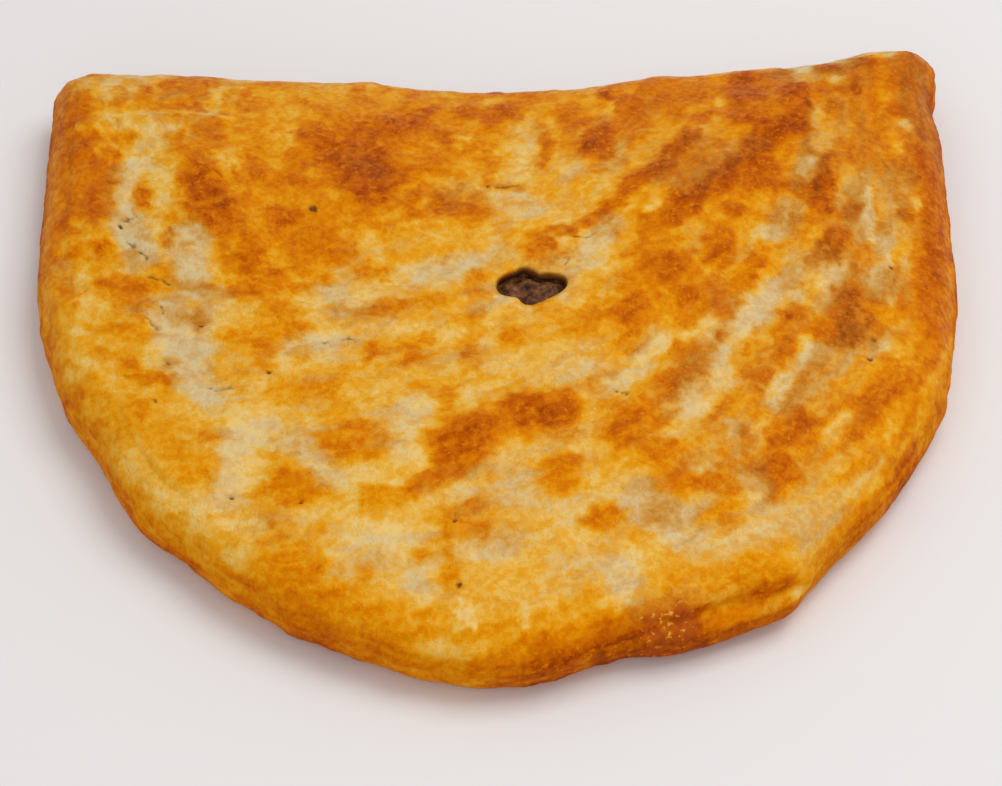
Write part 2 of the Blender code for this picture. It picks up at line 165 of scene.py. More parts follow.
WAVE_HEIGHT = 0.35            # the lid's wide waves
LUMP_HEIGHT = 0.16            # and the small lumps on them
BROWN_HEIGHT = 0.4            # browned places stand up
LAYER_HEIGHT = 0.3
DARK_DEPTH = 1.1              # pinholes and cracks go down
MEAT_LUMP_HEIGHT = 0.55
LAYER_STRETCH = np.array((1.0, 1.0, 9.0))    # pastry layers run along the edge, thin in height

BLISTERS = 620
BLISTER_SEED = 5
BLISTER_RADIUS = (1.6, 5.2)
BLISTER_RISE = (0.12, 0.42)
BLISTER_REACH = 2.2           # in radii, beyond which a blister's height is nearly 0

# Where something fades in, as (none, full): by how far the surface faces up, by height above the
# underside, and by depth below the vent's rim.
SIDE_FACING = (0.72, 0.22)
LID_FACING = (-0.1, 0.3)
BLISTER_FACING = (0.2, 0.7)
SIDE_HEIGHT = (0.0, 2.5)
RELIEF_HEIGHT = (0.0, 3.0)
# VENT_DEPTH also fades in the painted shade on the vent's wall.
VENT_DEPTH = (0.5, 1.7)

# ---- Noise ----

NOISE_CELLS = 64
NOISE_GAIN = 1.6              # brings the noise to about -1 to 1
SEED_SHIFT = 7.31             # moves each seed's noise to a place of its own
OCTAVES = 3
ISLAND_SHARPNESS = 1.5

# Noises, as (size of the features in millimetres, seed).
CLOUDS = (30.0, 41)
PATCHES = (6.0, 43)
SPOTS = (3.0, 44)
VEINS = (13.0, 46)
MOTTLE = (2.6, 48)
LAYERS = (16.0, 51)
WAVES = (22.0, 61)
LUMPS = (5.0, 65)
MEAT_LUMPS = (3.2, 71)
DULL_CLOUDS = (5.0, 81)
DULL_SPOTS = (2.6, 84)

# The noises that make strokes ragged, as (how far they shift the edge, size, seed).
RAGGED = ((0.4, 9.0, 11), (0.7, 3.6, 21), (0.6, 2.0, 31))

STREAK_CENTRE = (-66.0, 116.0)    # the streaks in the dough run in arcs round this place
STREAK_RADIUS = 130.0
STREAK_STRETCH = 2.6          # how much longer than wide the streaks are

# ---- How noise and strokes add up to the bake, which is 0 where raw and 1 where burnt ----

BASE_BAKE = 0.36              # the golden ground between the strokes
CLOUD_BAKE = 0.05
PATCH_BAKE = 0.12
SPOT_BAKE = 0.15
VEIN_BAKE = 0.1               # how much paler the veins are
VEIN_WIDTH = 0.14
SIDE_BAKE = 0.2               # how much browner the rolled edge is
LAYER_BAKE = 0.07
BLISTER_BAKE = 0.25
BROAD_SHARE = 0.8             # how far strokes at full strength go towards burnt or raw
PALE_SHARE = 0.9
BROWN_SHARE = 0.82
BROWN_MOTTLE = 0.25           # how much the mottle breaks up each kind of stroke
PALE_MOTTLE = 0.3
DULL_MOTTLE = 0.3
CRACK_STRENGTH = 0.6          # against a pinhole's 1

BASE_DULL = 0.14              # the same for dullness, which is 0 where egg-washed and 1 where floury
DULL_CLOUD = 0.22
DULL_SPOT = 0.24
VIVID_SHARE = 0.8             # how much of it vivid strokes, brown strokes and the side take away
BROWN_VIVID_SHARE = 0.7
SIDE_VIVID_SHARE = 0.85

STROKE_SPREAD = 1.15          # a stroke's bell against its half width
EDGE_POWER = 2.3              # over 1, a stroke has a flatter middle and a crisper edge

# ---- Strokes, placed in plan ----

# Each entry is one brush: its half width, its strength and its marks. A mark is a dot (x, y), a
# line (x0, y0, x1, y1) or a longer line with more corners.

# Broad areas a little browner or a little paler than the rest.
BROAD_BROWN = (
    (5, 0.18, (-122, -58, -100, -81, -80, -98, -50, -116)),
    (6, 0.15, (36, -121, 56, -114, 84, -99)), (6, 0.2, (-144, 36, -141, 0)),
    (7, 0.35, (121, 76, 122, 64), (-146, 104, -147, 44)), (7, 0.42, (142, 60, 142, 4)),
    (9, 0.08, (-64, -112, -30, -122)), (9, 0.15, (22, 66, 42, 62)), (9, 0.18, (100, -36, 102, -54)),
    (10, 0.1, (48, 30, 44, 4)), (10, 0.12, (-138, 84, -138, 96), (60, 108, 60, 100)),
    (10, 0.22, (60, 120, 62, 100)), (10, 0.35, (-2, 110, 8, 106)), (10, 0.4, (142, 122, 144, 96)),
    (12, 0.12, (122, 6, 118, -38)), (12, 0.2, (60, 52, 92, 56)), (12, 0.28, (0, 122, -2, 90)),
    (14, 0.2, (28, 118, 36, 92)), (14, 0.22, (128, 110, 140, 84)), (16, 0.12, (-56, 44, -14, 52)),
    (16, 0.28, (-30, 90, -20, 68)), (22, 0.24, (62, 108, 110, 106)), (22, 0.3, (72, 66, 110, 70)),
    (24, 0.24, (-82, 78, -62, 48)),
)
BROAD_PALE = (
    (8, 0.25, (98, -96, 100, -90)), (9, 0.35, (-84, -94, -100, -76)),
    (10, 0.3, (-72, -32, -58, -26), (-66, 110, -56, 98)), (13, 0.3, (4, 44, 30, 52)),
    (14, 0.2, (-30, 14, -6, 20)), (14, 0.24, (12, -66, 30, -76)), (14, 0.26, (-98, -52, -64, -42)),
    (16, 0.26, (-4, -26, 30, -30)), (18, 0.2, (60, -90, 80, -84)), (20, 0.34, (-44, -92, 30, -98)),
)

# Browned places, by far the most of them blisters and folds that stand up.
BROWN = (
    (1.5, 0.55, (-39, -20, -39, -27)), (1.8, 0.5, (17, 80, 16, 63)), (2, 0.3, (-15, -38, -15, -46)),
    (2, 0.4, (-1.5, 68, -2, 52), (3, 50.5, 8, 51.5)), (2.2, 0.2, (-133, 82, -120, 81)),
    (2.2, 0.6, (-105, 32, -104.5, 27)), (2.2, 0.75, (37, 42, 30, 34)),
    (2.4, 0.25, (-98, 8, -91, 9)), (2.4, 0.45, (-101, -23)), (2.5, 0.25, (28, -25), (-10, 68)),
    (2.5, 0.28, (-13, -100, -13, -110)),
    (2.5, 0.3, (-118, 103, -117, 99), (73, -87), (95, 9), (34, -7), (33, 30), (8, 23), (14, -6),
     (-15, 36), (-18, 82, -16, 74)),
    (2.5, 0.35, (-100, 36), (-101, -30), (66, -76)), (2.5, 0.4, (-113, -25, -104, -30), (72, 88)),
    (2.5, 0.45, (23, -15), (-45, -6)), (2.5, 0.5, (-26, 47, -27, 38), (-22, -18)),
    (2.5, 0.6, (16.5, 25), (19, 31, 25, 30)), (2.5, 0.7, (-19, 46)),
    (2.6, 0.35, (-127, 104, -127, 95)), (2.6, 0.6, (-83, 4)), (2.6, 1.0, (-41, 45)),
    (2.8, 0.3, (-95, -2, -93, -8)), (2.8, 0.45, (-38, -4, -25, -3, -17, 0)),
    (3, 0.15, (56, -33), (-28, 18, -17, 20)),
    (3, 0.2, (-79, -28), (53, -83), (30, -96), (32, 10), (-30, -30), (25, 22)),
    (3, 0.25, (-111, 92, -100, 93), (-122, -42), (-62, -52), (-122, -16), (-45, -67), (44, -93),
     (65, -38), (-25, 0), (-21, -27), (-42, -53), (-3, -46)),
    (3, 0.3, (-112, 100), (-73, 92), (-108, -42), (-123, 15), (-126, -6), (-99, 26),
     (-90, 2, -82, 1), (-134, -25, -127, -27), (-124, -16), (-116, -18, -114, -24), (-83, -81),
     (-38, -104), (-21, -118), (-53, -89), (-39, -117), (-46, -66, -38, -64), (75, -53),
     (124, -52, 128, -48), (117, -15), (84, 18, 88, 14), (92, 26), (33, 60), (31, 88), (8, -15),
     (-40, -7), (-33, 64), (40, 86), (-26, -24)),
    (3, 0.35, (-132, 38), (-100, 50, -98, 42), (-88, -54), (-64, -16, -60, -12), (-131, 12),
     (-77, 14), (-84, -13), (-62, -6), (-94, -70), (-52, -77), (-16, -77), (-22, -99), (62, -87),
     (-6, -83), (48, -85), (104, -26), (78, -53), (144, 26), (141, -4, 134, -18), (84, -30),
     (64, 36), (118, 46), (-23, 50), (28, 86), (-5, 46), (30, -37), (-43, 36), (-47, 19)),
    (3, 0.4, (-94, 82), (-129, 42), (-98, 80, -92, 77), (-79, 66, -78, 58), (-80, 45), (-100, -32),
     (-60, -23), (-134, 28), (-144, 30), (-14, -91, -5, -92), (69, -87), (32, -88), (92, -71),
     (126, -54, 121, -62), (91, -68), (102, 4), (136, 84, 141, 84), (131, 58, 133, 50), (57, 46),
     (97, 37, 105, 37), (104, 104, 114, 104), (75, 39, 90, 38), (40, 20), (-38, 106), (6, 77),
     (25, 73, 25, 78)),
    (3, 0.45, (110, -50, 118, -42), (82, 17, 81, 12), (36, 66), (34, -57, 41, -53, 48, -50)),
    (3, 0.5, (-133, 78), (-30, 57), (-96, 108), (-117, 5, -112, 3), (106, -5, 104, -12),
     (112, -40, 121, -32), (110.5, 7), (134, 70, 135, 62), (110, 99, 113, 92), (43, -4), (-32, 95)),
    (3, 0.55, (122, 101)), (3, 0.6, (-116, 54, -115, 49), (72, -15), (102, 47)),
    (3, 0.65, (108, 56, 111, 66)), (3, 0.7, (-5, -65), (91, -4)),
    (3, 0.75, (51, 58, 45, 51, 40, 44)), (3, 0.8, (-127, 30), (-38, 45), (-21, 92)),
    (3, 0.85, (133, 45), (77, 40), (1, 107)), (3, 1.0, (142, 32)), (3.2, 1.0, (37.5, 101)),
    (3.4, 0.3, (-27, -19, -26, -25)), (3.4, 0.6, (-18, 42, -5, 39)),
    (3.4, 1.0, (115, -4), (-41, 46)),
    (3.5, 0.3, (-120, -8, -108, -10), (100, 16), (-7, -6, -6, -13)),
    (3.5, 0.32, (43, -10, 41, -18)),
    (3.5, 0.35, (-66, -38, -50, -37), (60, -114.5, 88, -104), (52, 4)),
    (3.5, 0.4, (46, -4), (-6, 10, -6, 3), (-42, 12, -36, 12)),
    (3.5, 0.45, (128.5, 18, 127, 6), (-46, 104, -46, 96), (-9, -20, -8, -26), (71, 5, 70, -4)),
    (3.5, 0.5, (92, -54, 98, -51), (64, -73, 71, -74), (143.5, 30, 143.5, 20), (97, 114, 96, 104),
     (5, -17)),
    (3.5, 0.55, (79, -58, 80, -64)), (3.5, 0.7, (44, -120, 60, -116), (62, 12)),
    (3.5, 0.75, (55, 17, 55, 11)), (3.5, 0.8, (46, 52)), (3.6, 1.0, (113, 115)),
    (3.8, 1.0, (106, 43, 106.5, 53)),
    (4, 0.2, (16, -77, 26, -77), (52, -100, 64, -101), (135, -30, 126, -50), (-46, -32, -36, -34)),
    (4, 0.25, (-95, 115), (-97, -67), (-28, 78, -24, 68)),
    (4, 0.3, (-73, 50, -60, 52), (-70, 34, -60, 36), (-66, 66, -65, 56), (-62, 16),
     (-62, -97, -55, -103), (47, -45), (2, -131, 20, -129), (52, 12, 60, 8), (119, 24, 117, 19),
     (16, -4, 28, -12)),
    (4, 0.35, (-123, 80), (-74, 108), (-128, 24, -118, 24), (-84, 16, -79, 4), (-70, 9, -58, 9),
     (14, -128, 30, -124), (80, -45, 78, -30), (22, 94, 26, 86), (4, 96)),
    (4, 0.38, (115, 42)),
    (4, 0.4, (72, -44, 67, -50), (132, -20, 128, -32), (62, -33, 56, -37), (60, 2), (125, 117),
     (135, 95), (30, -6)),
    (4, 0.45, (-134, 95), (-72, -20, -71, -25), (-36, -80, -27, -80), (63, -2, 61, -8),
     (48, 88, 46, 78)),
    (4, 0.5, (-135, 117), (-142, 44), (-22, -75, -20, -73), (54, -35, 52, -50), (31, -87, 35, -85),
     (1, 93, -2, 86), (14, 26, 14, 20)),
    (4, 0.55, (86, -62, 86, -74), (91, -13, 91, -24)),
    (4, 0.6, (-70, 39, -66, 37), (139, 76, 140, 66), (45, 98, 44, 92), (43, -1, 39, -7)),
    (4, 0.7, (-9, 92)), (4, 0.75, (143, 52, 143, 34), (64, 77, 60, 70, 54, 58)),
    (4.2, 0.85, (86, -54, 93, -46)), (4.4, 0.95, (112, 2, 111, -9)),
    (4.4, 0.97, (57, 37, 65, 46, 73, 54, 81, 63, 88, 72, 93, 82)), (4.5, 0.3, (8, -54, 20, -56)),
    (4.5, 0.35, (-15, -69, -11, -66), (-2, -54, 4, -51)), (4.5, 0.4, (80, -21, 79, -28)),
    (4.5, 0.5, (-124, 13, -116, 11), (95, -5, 98, -9)),
    (4.5, 0.6, (-127.5, 71, -129, 46), (124, -24, 119, -37), (34, -122, 44, -120)),
    (4.5, 0.62, (110, 31, 107, 22)), (4.5, 0.65, (-97, 64), (72, 30, 71, 18)),
    (4.5, 0.8, (104, -13, 110, -13)), (5, 0.15, (74, -101, 83, -97)),
    (5, 0.2, (23, 44, 27, 48), (6, 92, 14, 106)), (5, 0.28, (-9, -83, -4, -87)),
    (5, 0.35, (-27, 83, -22, 80), (59, -59, 70, -63)),
    (5, 0.4, (-90, 42, -88, 35), (-85, 32, -80, 20)),
    (5, 0.45, (-142, 102, -139, 86), (51, -62, 56, -72), (60, -22, 61, -28), (139, 22, 137, -14),
     (51, 32, 50, 24)),
    (5, 0.5, (-48, 80, -45, 76), (-60, 78, -56, 66), (-77, 22, -73, 6), (-62, -71, -60, -77),
     (-49, -60, -38, -56), (145, 100, 145, 60), (120, 104, 124, 96)),
    (5, 0.55, (20, -68, 20, -74), (143, 120, 143, 108)), (5, 0.58, (41, -48, 41, -60)),
    (5, 0.6, (88, 60, 87, 52)), (5, 0.85, (35, 79, 32.5, 70)),
    (5, 0.9, (99, 82, 101, 91, 100, 101)), (5.5, 0.5, (117, 4, 117, -7)),
    (6, 0.3, (-60, 96, -52, 90)), (6, 0.35, (48, 16, 45, 4)), (6, 0.4, (-106, 108, -101, 97)),
    (6, 0.5, (-52, 70, -50, 56)), (6, 0.55, (-139, 76, -135, 52)), (6, 0.75, (-40, 82, -28, 85)),
    (6, 0.85, (-96, 56, -91.5, 42)), (6.4, 0.97, (9, -46, 20, -46)),
    (7, 0.12, (-100, -60, -90, -68)), (7, 0.25, (-46, -114, -34, -119)),
    (7, 0.35, (124, 112, 134, 110)), (7, 0.45, (-66, 28, -57, 26)),
    (7.5, 0.72, (-13, -61, -6, -57)), (7.5, 0.75, (85, 110, 85, 88)),
    (8, 0.36, (-63, -95, -56, -108)), (8.5, 0.9, (-43, 66, -40, 50)),
)

# Dough that stayed pale, and painted highlights on top of the back roll and on the vent's lip.
# Painted highlights: the dots at (-86, 115), (-111, 115), (118, 122) and (131, 125), the line
# from (-133, 115) to (-112, 115), and partly the line round the vent's lip, which is also pale dough.
PALE_AND_HIGHLIGHTS = (
    (1.2, 0.6, (0, 2, 5, -0.5, 11, -4, 18, -2, 22, 3), (-7, -115, -7, -122),
     (60, -111, 76, -105.5)),
    (1.2, 0.8, (-10, -115, -10, -122)), (1.3, 0.5, (-124, 91.5, -105, 89.5, -88, 86)),
    (1.4, 0.5, (9, -115, 9, -122)), (1.5, 0.65, (126, 29, 125, 3)),
    (1.6, 0.6, (-143, 86, -122, 84, -106, 82)), (1.6, 0.7, (121.5, 53, 121, 31)),
    (2, 0.4, (0, 50, -1, 46)), (2, 0.6, (-131, 4, -131, -6), (38, 95, 38, 88), (133, 77)),
    (2, 0.9, (137, 88)), (2.4, 0.4, (84, -44, 80, -60)), (2.4, 0.75, (101.5, 57, 102, 64)),
    (2.5, 0.3, (23.5, -87), (78, -76, 79, -86)),
    (2.5, 0.35, (20, 66, 20, 60), (98, 64), (88, 48), (21, -105)),
    (2.5, 0.4, (-107, -22), (111.5, 52, 111, 44)), (2.5, 0.65, (-94, 106, -94, 90)),
    (2.5, 0.7, (22, 25), (28, -3)), (2.5, 0.75, (21, 79)), (2.5, 0.8, (73, -34)),
    (2.6, 0.7, (-29.5, -76.5)), (2.8, 0.8, (97, -14, 95, -24, 88, -34, 85, -40)),
    (3, 0.15, (-127, 74), (-86, 12)), (3, 0.2, (-104, 24), (43, 97), (37, -119)),
    (3, 0.25, (-82, -43), (-46, -3), (69, -36), (-27, -111)),
    (3, 0.3, (-107, 36), (-72, -14), (-66, 0, -58, -3), (-8, 23), (42, 14), (4, -6), (36, -11),
     (42, -44), (-10, 73), (-9, 47), (38, 44), (123, 18, 123, 8), (-29, -98), (-102, -75),
     (-27, -120), (63, -69), (74, -72), (-12, -95, -2, -93), (84, -104, 90, -100)),
    (3, 0.35, (-138, 33), (-100, 80), (-128, 3, -110, 5), (-71, 12, -72, 20), (21, 87),
     (-16, 53, -3, 53), (64, -51), (108, 14), (-54, -109)),
    (3, 0.4, (-72, 62), (-133, 115, -112, 115), (-38, 5, -37, 16), (-7, -58), (0, 42),
     (-131, -8, -131, -18), (42, 67), (95, 57), (78, 118), (106, 98, 111, 91), (107, 90, 107, 72),
     (67, 92)),
    (3, 0.45, (-43, -42, -34, -50), (125, -16), (128, -27, 131, -22), (75.5, 84, 75, 76),
     (-6, -73)),
    (3, 0.5, (-84, 9), (-91.5, 61), (-130, 84, -129, 74), (-96, 95), (-109, 42), (-6, 84),
     (-49, 11), (105, -61), (41, -63)),
    (3, 0.55, (-122, 105)),
    (3, 0.6, (-116, 61), (-140, 105), (-44, 84), (-106, 0, -106, -6), (-12, -18), (-9, -50),
     (71, -52), (96, 4), (80, 120, 80, 110), (50, 40), (-30, -69)),
    (3, 0.65, (88, 12, 86, 4)),
    (3, 0.7, (-131, 24, -130, 9), (40, 2), (0, 99), (122, -50, 124, -47), (60, -16), (-43, -80),
     (-21, -64), (-14, -76)),
    (3, 0.75, (-78, -53), (121, -25)), (3, 0.8, (-68, -27), (-24, 9), (-70, -58)),
    (3, 0.85, (-109, 60, -108, 44), (77, -17), (57, -57)),
    (3, 0.9, (-111, 115), (-121, 60, -121, 46), (-19, -47), (92, 38), (-10, -79)),
    (3, 1.0, (67, 78), (116, 108), (76, 96)), (3.2, 0.75, (-130, 108, -129.5, 90)),
    (3.2, 0.9, (139.5, 52)), (3.4, 0.85, (118, 122)), (3.4, 1.0, (-41, 0)), (3.5, 0.3, (-12, 61)),
    (3.5, 0.35, (-119, -27, -104, -24), (95, 46), (126, 60)),
    (3.5, 0.4, (116, 81), (-62, -58, -60, -64)), (3.5, 0.45, (-14, -14)), (3.5, 0.5, (-11, 77)),
    (3.5, 0.6, (-128, 89, -122, 87), (24, -53), (66, -5, 65, -13), (-57, -60, -53, -67)),
    (3.5, 0.7, (103, -52, 109, -46)),
    (3.5, 0.75, (-29, -15), (-50, -70, -36, -71), (-23, -103, -22, -112)),
    (3.5, 0.9, (39, -34, 44, -29, 52, -17)),
    (4, 0.2, (-47, -24, -36, -30), (22, 56, 27, 58), (-38, 102, -36, 96), (106, 108, 114, 112)),
    (4, 0.25, (-121, -37, -114, -41), (-77, 76, -67, 73), (-72, 99, -70, 92), (0, -31, 6, -33),
     (54, -93, 70, -95)),
    (4, 0.3, (-132, -21, -125, -20), (-78, 88, -64, 88), (-84, 80, -82, 74), (-34, -34), (-11, 106),
     (62, -5, 67, -8), (-75, -94, -62, -89), (14, -62, 21, -63)),
    (4, 0.35, (-90, -47, -74, -54), (-100, 2, -88, 0), (91, 110), (13, -64), (-31, -86, -21, -84)),
    (4, 0.4, (-78, -84, -70, -92), (-63, 104, -58, 98), (-71, 80, -70, 70), (-46, -16, -40, -14),
     (28, -62), (18, -83, 24, -92)),
    (4, 0.45, (-3, 24)), (4, 0.5, (-86, -4, -86, -8), (57, -46, 54, -56), (28, -96, 30, -102)),
    (4, 0.6, (-120, 38, -115, 26), (-89, 66, -90, 60), (-46, 2, -36, 8), (-40, 24),
     (-8, -41, -6, -46)),
    (4, 0.65, (-41, -30, -36, -35)), (4, 0.7, (-65, -41), (-29, 13, -22, 16)),
    (4, 0.75, (40, -101, 38, -107)),
    (4, 0.8, (20, 38), (86, 2, 80, -6, 76, -16, 72, -27, 67, -36, 60, -45)), (4, 0.9, (103.5, 118)),
    (4, 0.95, (-60, 0, -54, 3)), (4, 1.0, (107.5, 121.5)),
    (4.5, 0.5, (-110, -60, -102, -67), (113, 61, 118, 56), (-54, -84, -46, -84)),
    (4.5, 0.6, (8.5, 84, 8, 52), (4, -62, 6, -76), (-8, -98, 4, -103)), (4.5, 0.65, (88, 31)),
    (4.5, 0.75, (-17, 11, -8, 14), (33, 28, 33, 16)), (4.5, 0.85, (-25, -44, -26, -53)),
    (4.5, 0.95, (-26.5, -62, -23, -66)), (5, 0.25, (-4, -25, 7, -20)), (5, 0.3, (91, -84)),
    (5, 0.4, (-66, -54, -59, -50), (-74, -86), (5, -109, 14, -109)), (5, 0.45, (-58, -5)),
    (5, 0.5, (101, 12, 105, 6)), (5, 0.6, (-112, 36, -108, 26)), (5, 0.65, (44, -96, 50, -94)),
    (5, 0.75, (-98, -26, -90, -34), (-78, -68, -80, -80), (-40, -91, -27, -93)),
    (5, 0.8, (-60, -23, -53, -16)),
    (5, 0.85, (-115.5, 80, -116, 62), (-99, 30, -95, 14), (131, 125), (-98, -70, -89, -78)),
    (5, 1.0, (-86, 115)), (6, 0.45, (56, -92, 78, -91)), (6, 0.85, (-75, -50, -78, -66)),
    (7, 0.45, (8, 42, 18, 36)), (7, 0.85, (-103, -13, -93, -17)), (9, 0.2, (-9, 22, -8, -8)),
)

# Places where the colour is duller: thin, floury or greyish dough.
DULL = (
    (3, 0.43, (-141, 26, -134, 16)), (4, 0.3, (71, 6, 70, -4)), (4, 0.4, (98, 44)),
    (4, 0.45, (50, -14, 44, -28)), (4, 0.5, (-47, 66, -38, 56)),
    (4, 0.58, (-96, 10, -92, 4), (63, 49, 86, 73)), (4, 0.61, (22, 14, 38, 34)),
    (4, 0.65, (-50, 4, -48, -3)), (4, 0.7, (104, 64, 101, 52)), (4.5, 0.47, (-22, -107)),
    (4.5, 0.5, (-82, -76, -80, -56, -72, -50, -60, -58, -50, -72)), (5, 0.15, (-84, -80, -70, -80)),
    (5, 0.36, (44, -116, 60, -113)), (5, 0.43, (-42, -95, -34, -98)),
    (5, 0.47, (40, -108, 36, -103)),
    (5, 0.5, (-110, 1, -88, 2), (-60, -19, -45, -22), (-21, 13, -9, 17)),
    (5, 0.54, (79, -4, 70, -18, 62, -36, 56, -46)), (5, 0.61, (90, 30, 95, 42)),
    (5, 0.65, (76, -54, 80, -76)), (5, 0.68, (-95, -30, -89, -36)), (5, 0.72, (-119, 40, -113, 23)),
    (5.5, 0.55, (-122, 64, -121, 44)), (6, 0.2, (10, 84, 10, 62)), (6, 0.25, (20, 27, 20, 4)),
    (6, 0.54, (108, 0, 112, -6)), (6, 0.6, (94, 8, 80, -2)), (6, 0.61, (116, 48, 122, 30)),
    (6, 0.7, (118, -10, 104, -24, 88, -40)), (6, 0.75, (118, 120, 100, 112)),
    (6.5, 0.72, (-99, 30, -97, 14)), (7, 0.2, (120, 125, 122, 108)),
    (7, 0.29, (-24, -45, -32, -58)),
    (7, 0.3, (140, 124, 142, 90), (20, -58, 28, -62), (100, -76, 98, -94)),
    (7, 0.35, (143, 122, 145, 80)), (7, 0.75, (46, -80, 56, -88)), (8, 0.15, (-112, 92, -94, 84)),
    (8, 0.25, (-24, 4, 0, 2), (36, 80, 34, 66)), (8, 0.29, (110, 92, 108, 76)),
    (8, 0.3, (-16, -76, 6, -76), (-46, 4, -38, -14)), (8, 0.35, (60, -92, 84, -86)),
    (8, 0.36, (66, 70, 58, 56)), (8, 0.48, (105, 18, 120, 12)), (8, 0.8, (-99, -8, -96, -22)),
    (9, 0.2, (-140, 108, -100, 106)), (9, 0.22, (-10, -30, 30, -34)), (9, 0.32, (-12, 46, 24, 46)),
    (9, 0.4, (130, 60, 128, 40)), (10, 0.25, (0, -92, 2, -72)), (14, 0.2, (98, -38, 66, -52)),
    (22, 0.14, (114, 60, 108, -16)),
)

# Places where the colour is at its most vivid.
VIVID = (
    (6, 0.7, (110, -42, 90, -52)), (7, 0.8, (66, 40, 84, 52)),
    (7, 1.0, (141, 50, 141, -16, 124, -50)), (8, 0.7, (-62, -74, -24, -78)),
    (8, 0.8, (-24, 32, -16, 24), (60, -96, 84, -96), (22, 108, 24, 74), (-60, 24), (58, -50),
     (14, 26)),
    (8, 0.9, (84, 92, 90, 66)),
    (8, 1.0, (-124, -52, -104, -36), (-95, -92, -50, -116, 0, -124, 50, -116)),
    (9, 0.7, (60, 104, 82, 104)),
    (9, 0.8, (-60, 124, 0, 124), (60, 124, 66, 66), (-100, 30, -96, 20)),
    (9, 0.9, (-38, 86, -20, 84)),
    (9, 1.0, (-122, -44, -108, -32), (-140, 74, -141, 32), (48, 40, 50, -8)),
    (10, 0.8, (-40, 112, -38, 88), (-14, -60, 18, -48)), (12, 0.8, (-76, 20, -72, -10)),
    (14, 0.8, (-2, 116, 0, 70)), (14, 1.0, (-134, 10, -124, -30)),
    (16, 1.0, (-118, -34, -102, -66)), (18, 1.0, (-24, 92, -20, 66)), (24, 1.0, (-64, 88, -62, 42)),
)

# Places where the brown turns reddish or pinkish.
BLUSH = (
    (1.2, 0.4, (48, -114, 76, -105.5)), (2.5, 0.5, (104, 104, 114, 104)),
    (3, 0.3, (122, -54, 128, -48)), (3, 0.4, (64, 50, 84, 72)), (3, 0.5, (96, 106), (113, 115)),
    (3, 0.6, (-95, 84, -92, 78)), (3.2, 1.0, (46, -117, 57, -115)), (4, 0.3, (-136, 78, -128, 43)),
    (4, 0.4, (71, 6, 70, -4)), (6, 0.5, (-44, 66, -41, 52)), (7, 0.4, (-60, 108, 0, 108)),
    (7, 0.5, (-120, 113, -60, 112)), (8, 0.3, (142, 120, 146, 70)),
)

# Pinholes and specks (x, y, radius), and fine cracks (x0, y0, x1, y1).
# Their dark colour is partly painted shade, the shade that falls into pits and cracks.
PINHOLES = (
    (-58.7, 40.3, 2.2), (-105, -38, 1.0), (-10.5, -109, 1.4), (127, 19.5, 1.2), (42, -99.5, 0.9),
    (-19, -66.5, 1.0), (-2, 51, 1.0), (-70, -29.5, 1.2), (-92, -8.5, 1.0), (-130.5, 11.5, 1.0),
    (-121.5, 38.3, 1.2), (-126, 84, 0.9), (-121, 81, 1.0), (-53, -18, 1.0), (-50, -18, 0.7),
    (-80, -75, 0.8), (-58, -80, 1.0), (-12, -88, 1.0), (119, -12, 1.2), (117, -21, 1.2),
)
CRACKS = (
    (-122.5, 40.6, -119, 38.2), (-119.6, 32, -116.8, 29), (-116.5, 28, -113.5, 25),
    (-120, 40, -116, 41.5), (-114.5, 25.5, -112, 22.5), (-110, 15, -104, 11), (-110, -3, -105, -8),
    (-107, 1, -106, -1.5), (-102, -20, -100.5, -24), (-88, -34, -83, -35.5), (24, 27, 31, 29),
    (21.5, 16, 24, 19), (1, 51, 8, 52.5), (-48, -17.5, -44, -18), (38, -39, 41, -40.5),
)
CRACK_WIDTH = 0.7
PINHOLE_SPREAD = 0.75         # a pinhole's bell against its radius

# ---- Colours, as sRGB ----

# The pastry from raw to burnt, as (bake, colour), where it is egg-washed and where it is dull.
BRIGHT_COLOURS = (
    (0.00, (232, 194, 116)), (0.14, (230, 179, 78)), (0.28, (228, 162, 38)), (0.42, (224, 146, 8)),
    (0.54, (217, 128, 0)), (0.67, (206, 110, 0)), (0.80, (190, 92, 0)), (0.91, (175, 77, 0)),
    (1.00, (150, 62, 2)),
)
DULL_COLOURS = (
    (0.00, (213, 190, 144)), (0.14, (211, 178, 123)), (0.28, (206, 161, 93)), (0.42, (200, 145, 68)),
    (0.54, (194, 128, 42)), (0.67, (186, 111, 28)), (0.80, (172, 94, 18)), (0.91, (156, 80, 12)),
    (1.00, (128, 64, 12)),
)
BLUSH_COLOUR = (190, 88, 32)
# SPECK_COLOUR darkens pinholes and cracks: partly painted shade in the pits.
SPECK_COLOUR = (90, 54, 26)
# Painted shade: the vent's wall below the rim is darkened as if in shadow.
VENT_WALL_SHADE_COLOUR = (74, 36, 22)
MEAT_COLOURS = (
    (0.30, (30, 14, 8)), (0.44, (80, 44, 24)), (0.54, (108, 70, 38)), (0.64, (132, 78, 54)),
    (0.80, (176, 128, 108)),
)
FLOOR_COLOUR = (232, 229, 228)

# ---- Values for the materials ----

# Textures, as (size of the features in millimetres, detail, roughness).
PATCH_TEXTURE = (5.0, 4.0, 0.6)
MOTTLE_TEXTURE = (2.2, 3.0, 0.6)
GRAIN_TEXTURE = (0.9, 2.0, 0.5)
FLECK_TEXTURE = (2.0, 2.0, 0.55)
DULL_TEXTURE = (2.6, 3.0, 0.6)
MEAT_TEXTURE = (3.0, 4.0, 0.65)

# What a texture adds to the bake or the dullness, as (swing of the texture, most that it adds).
PATCH_STIR = (0.08, 0.04)
MOTTLE_STIR = (0.08, 0.055)
GRAIN_STIR = (0.15, 0.01)
DULL_STIR = (0.15, 0.1)

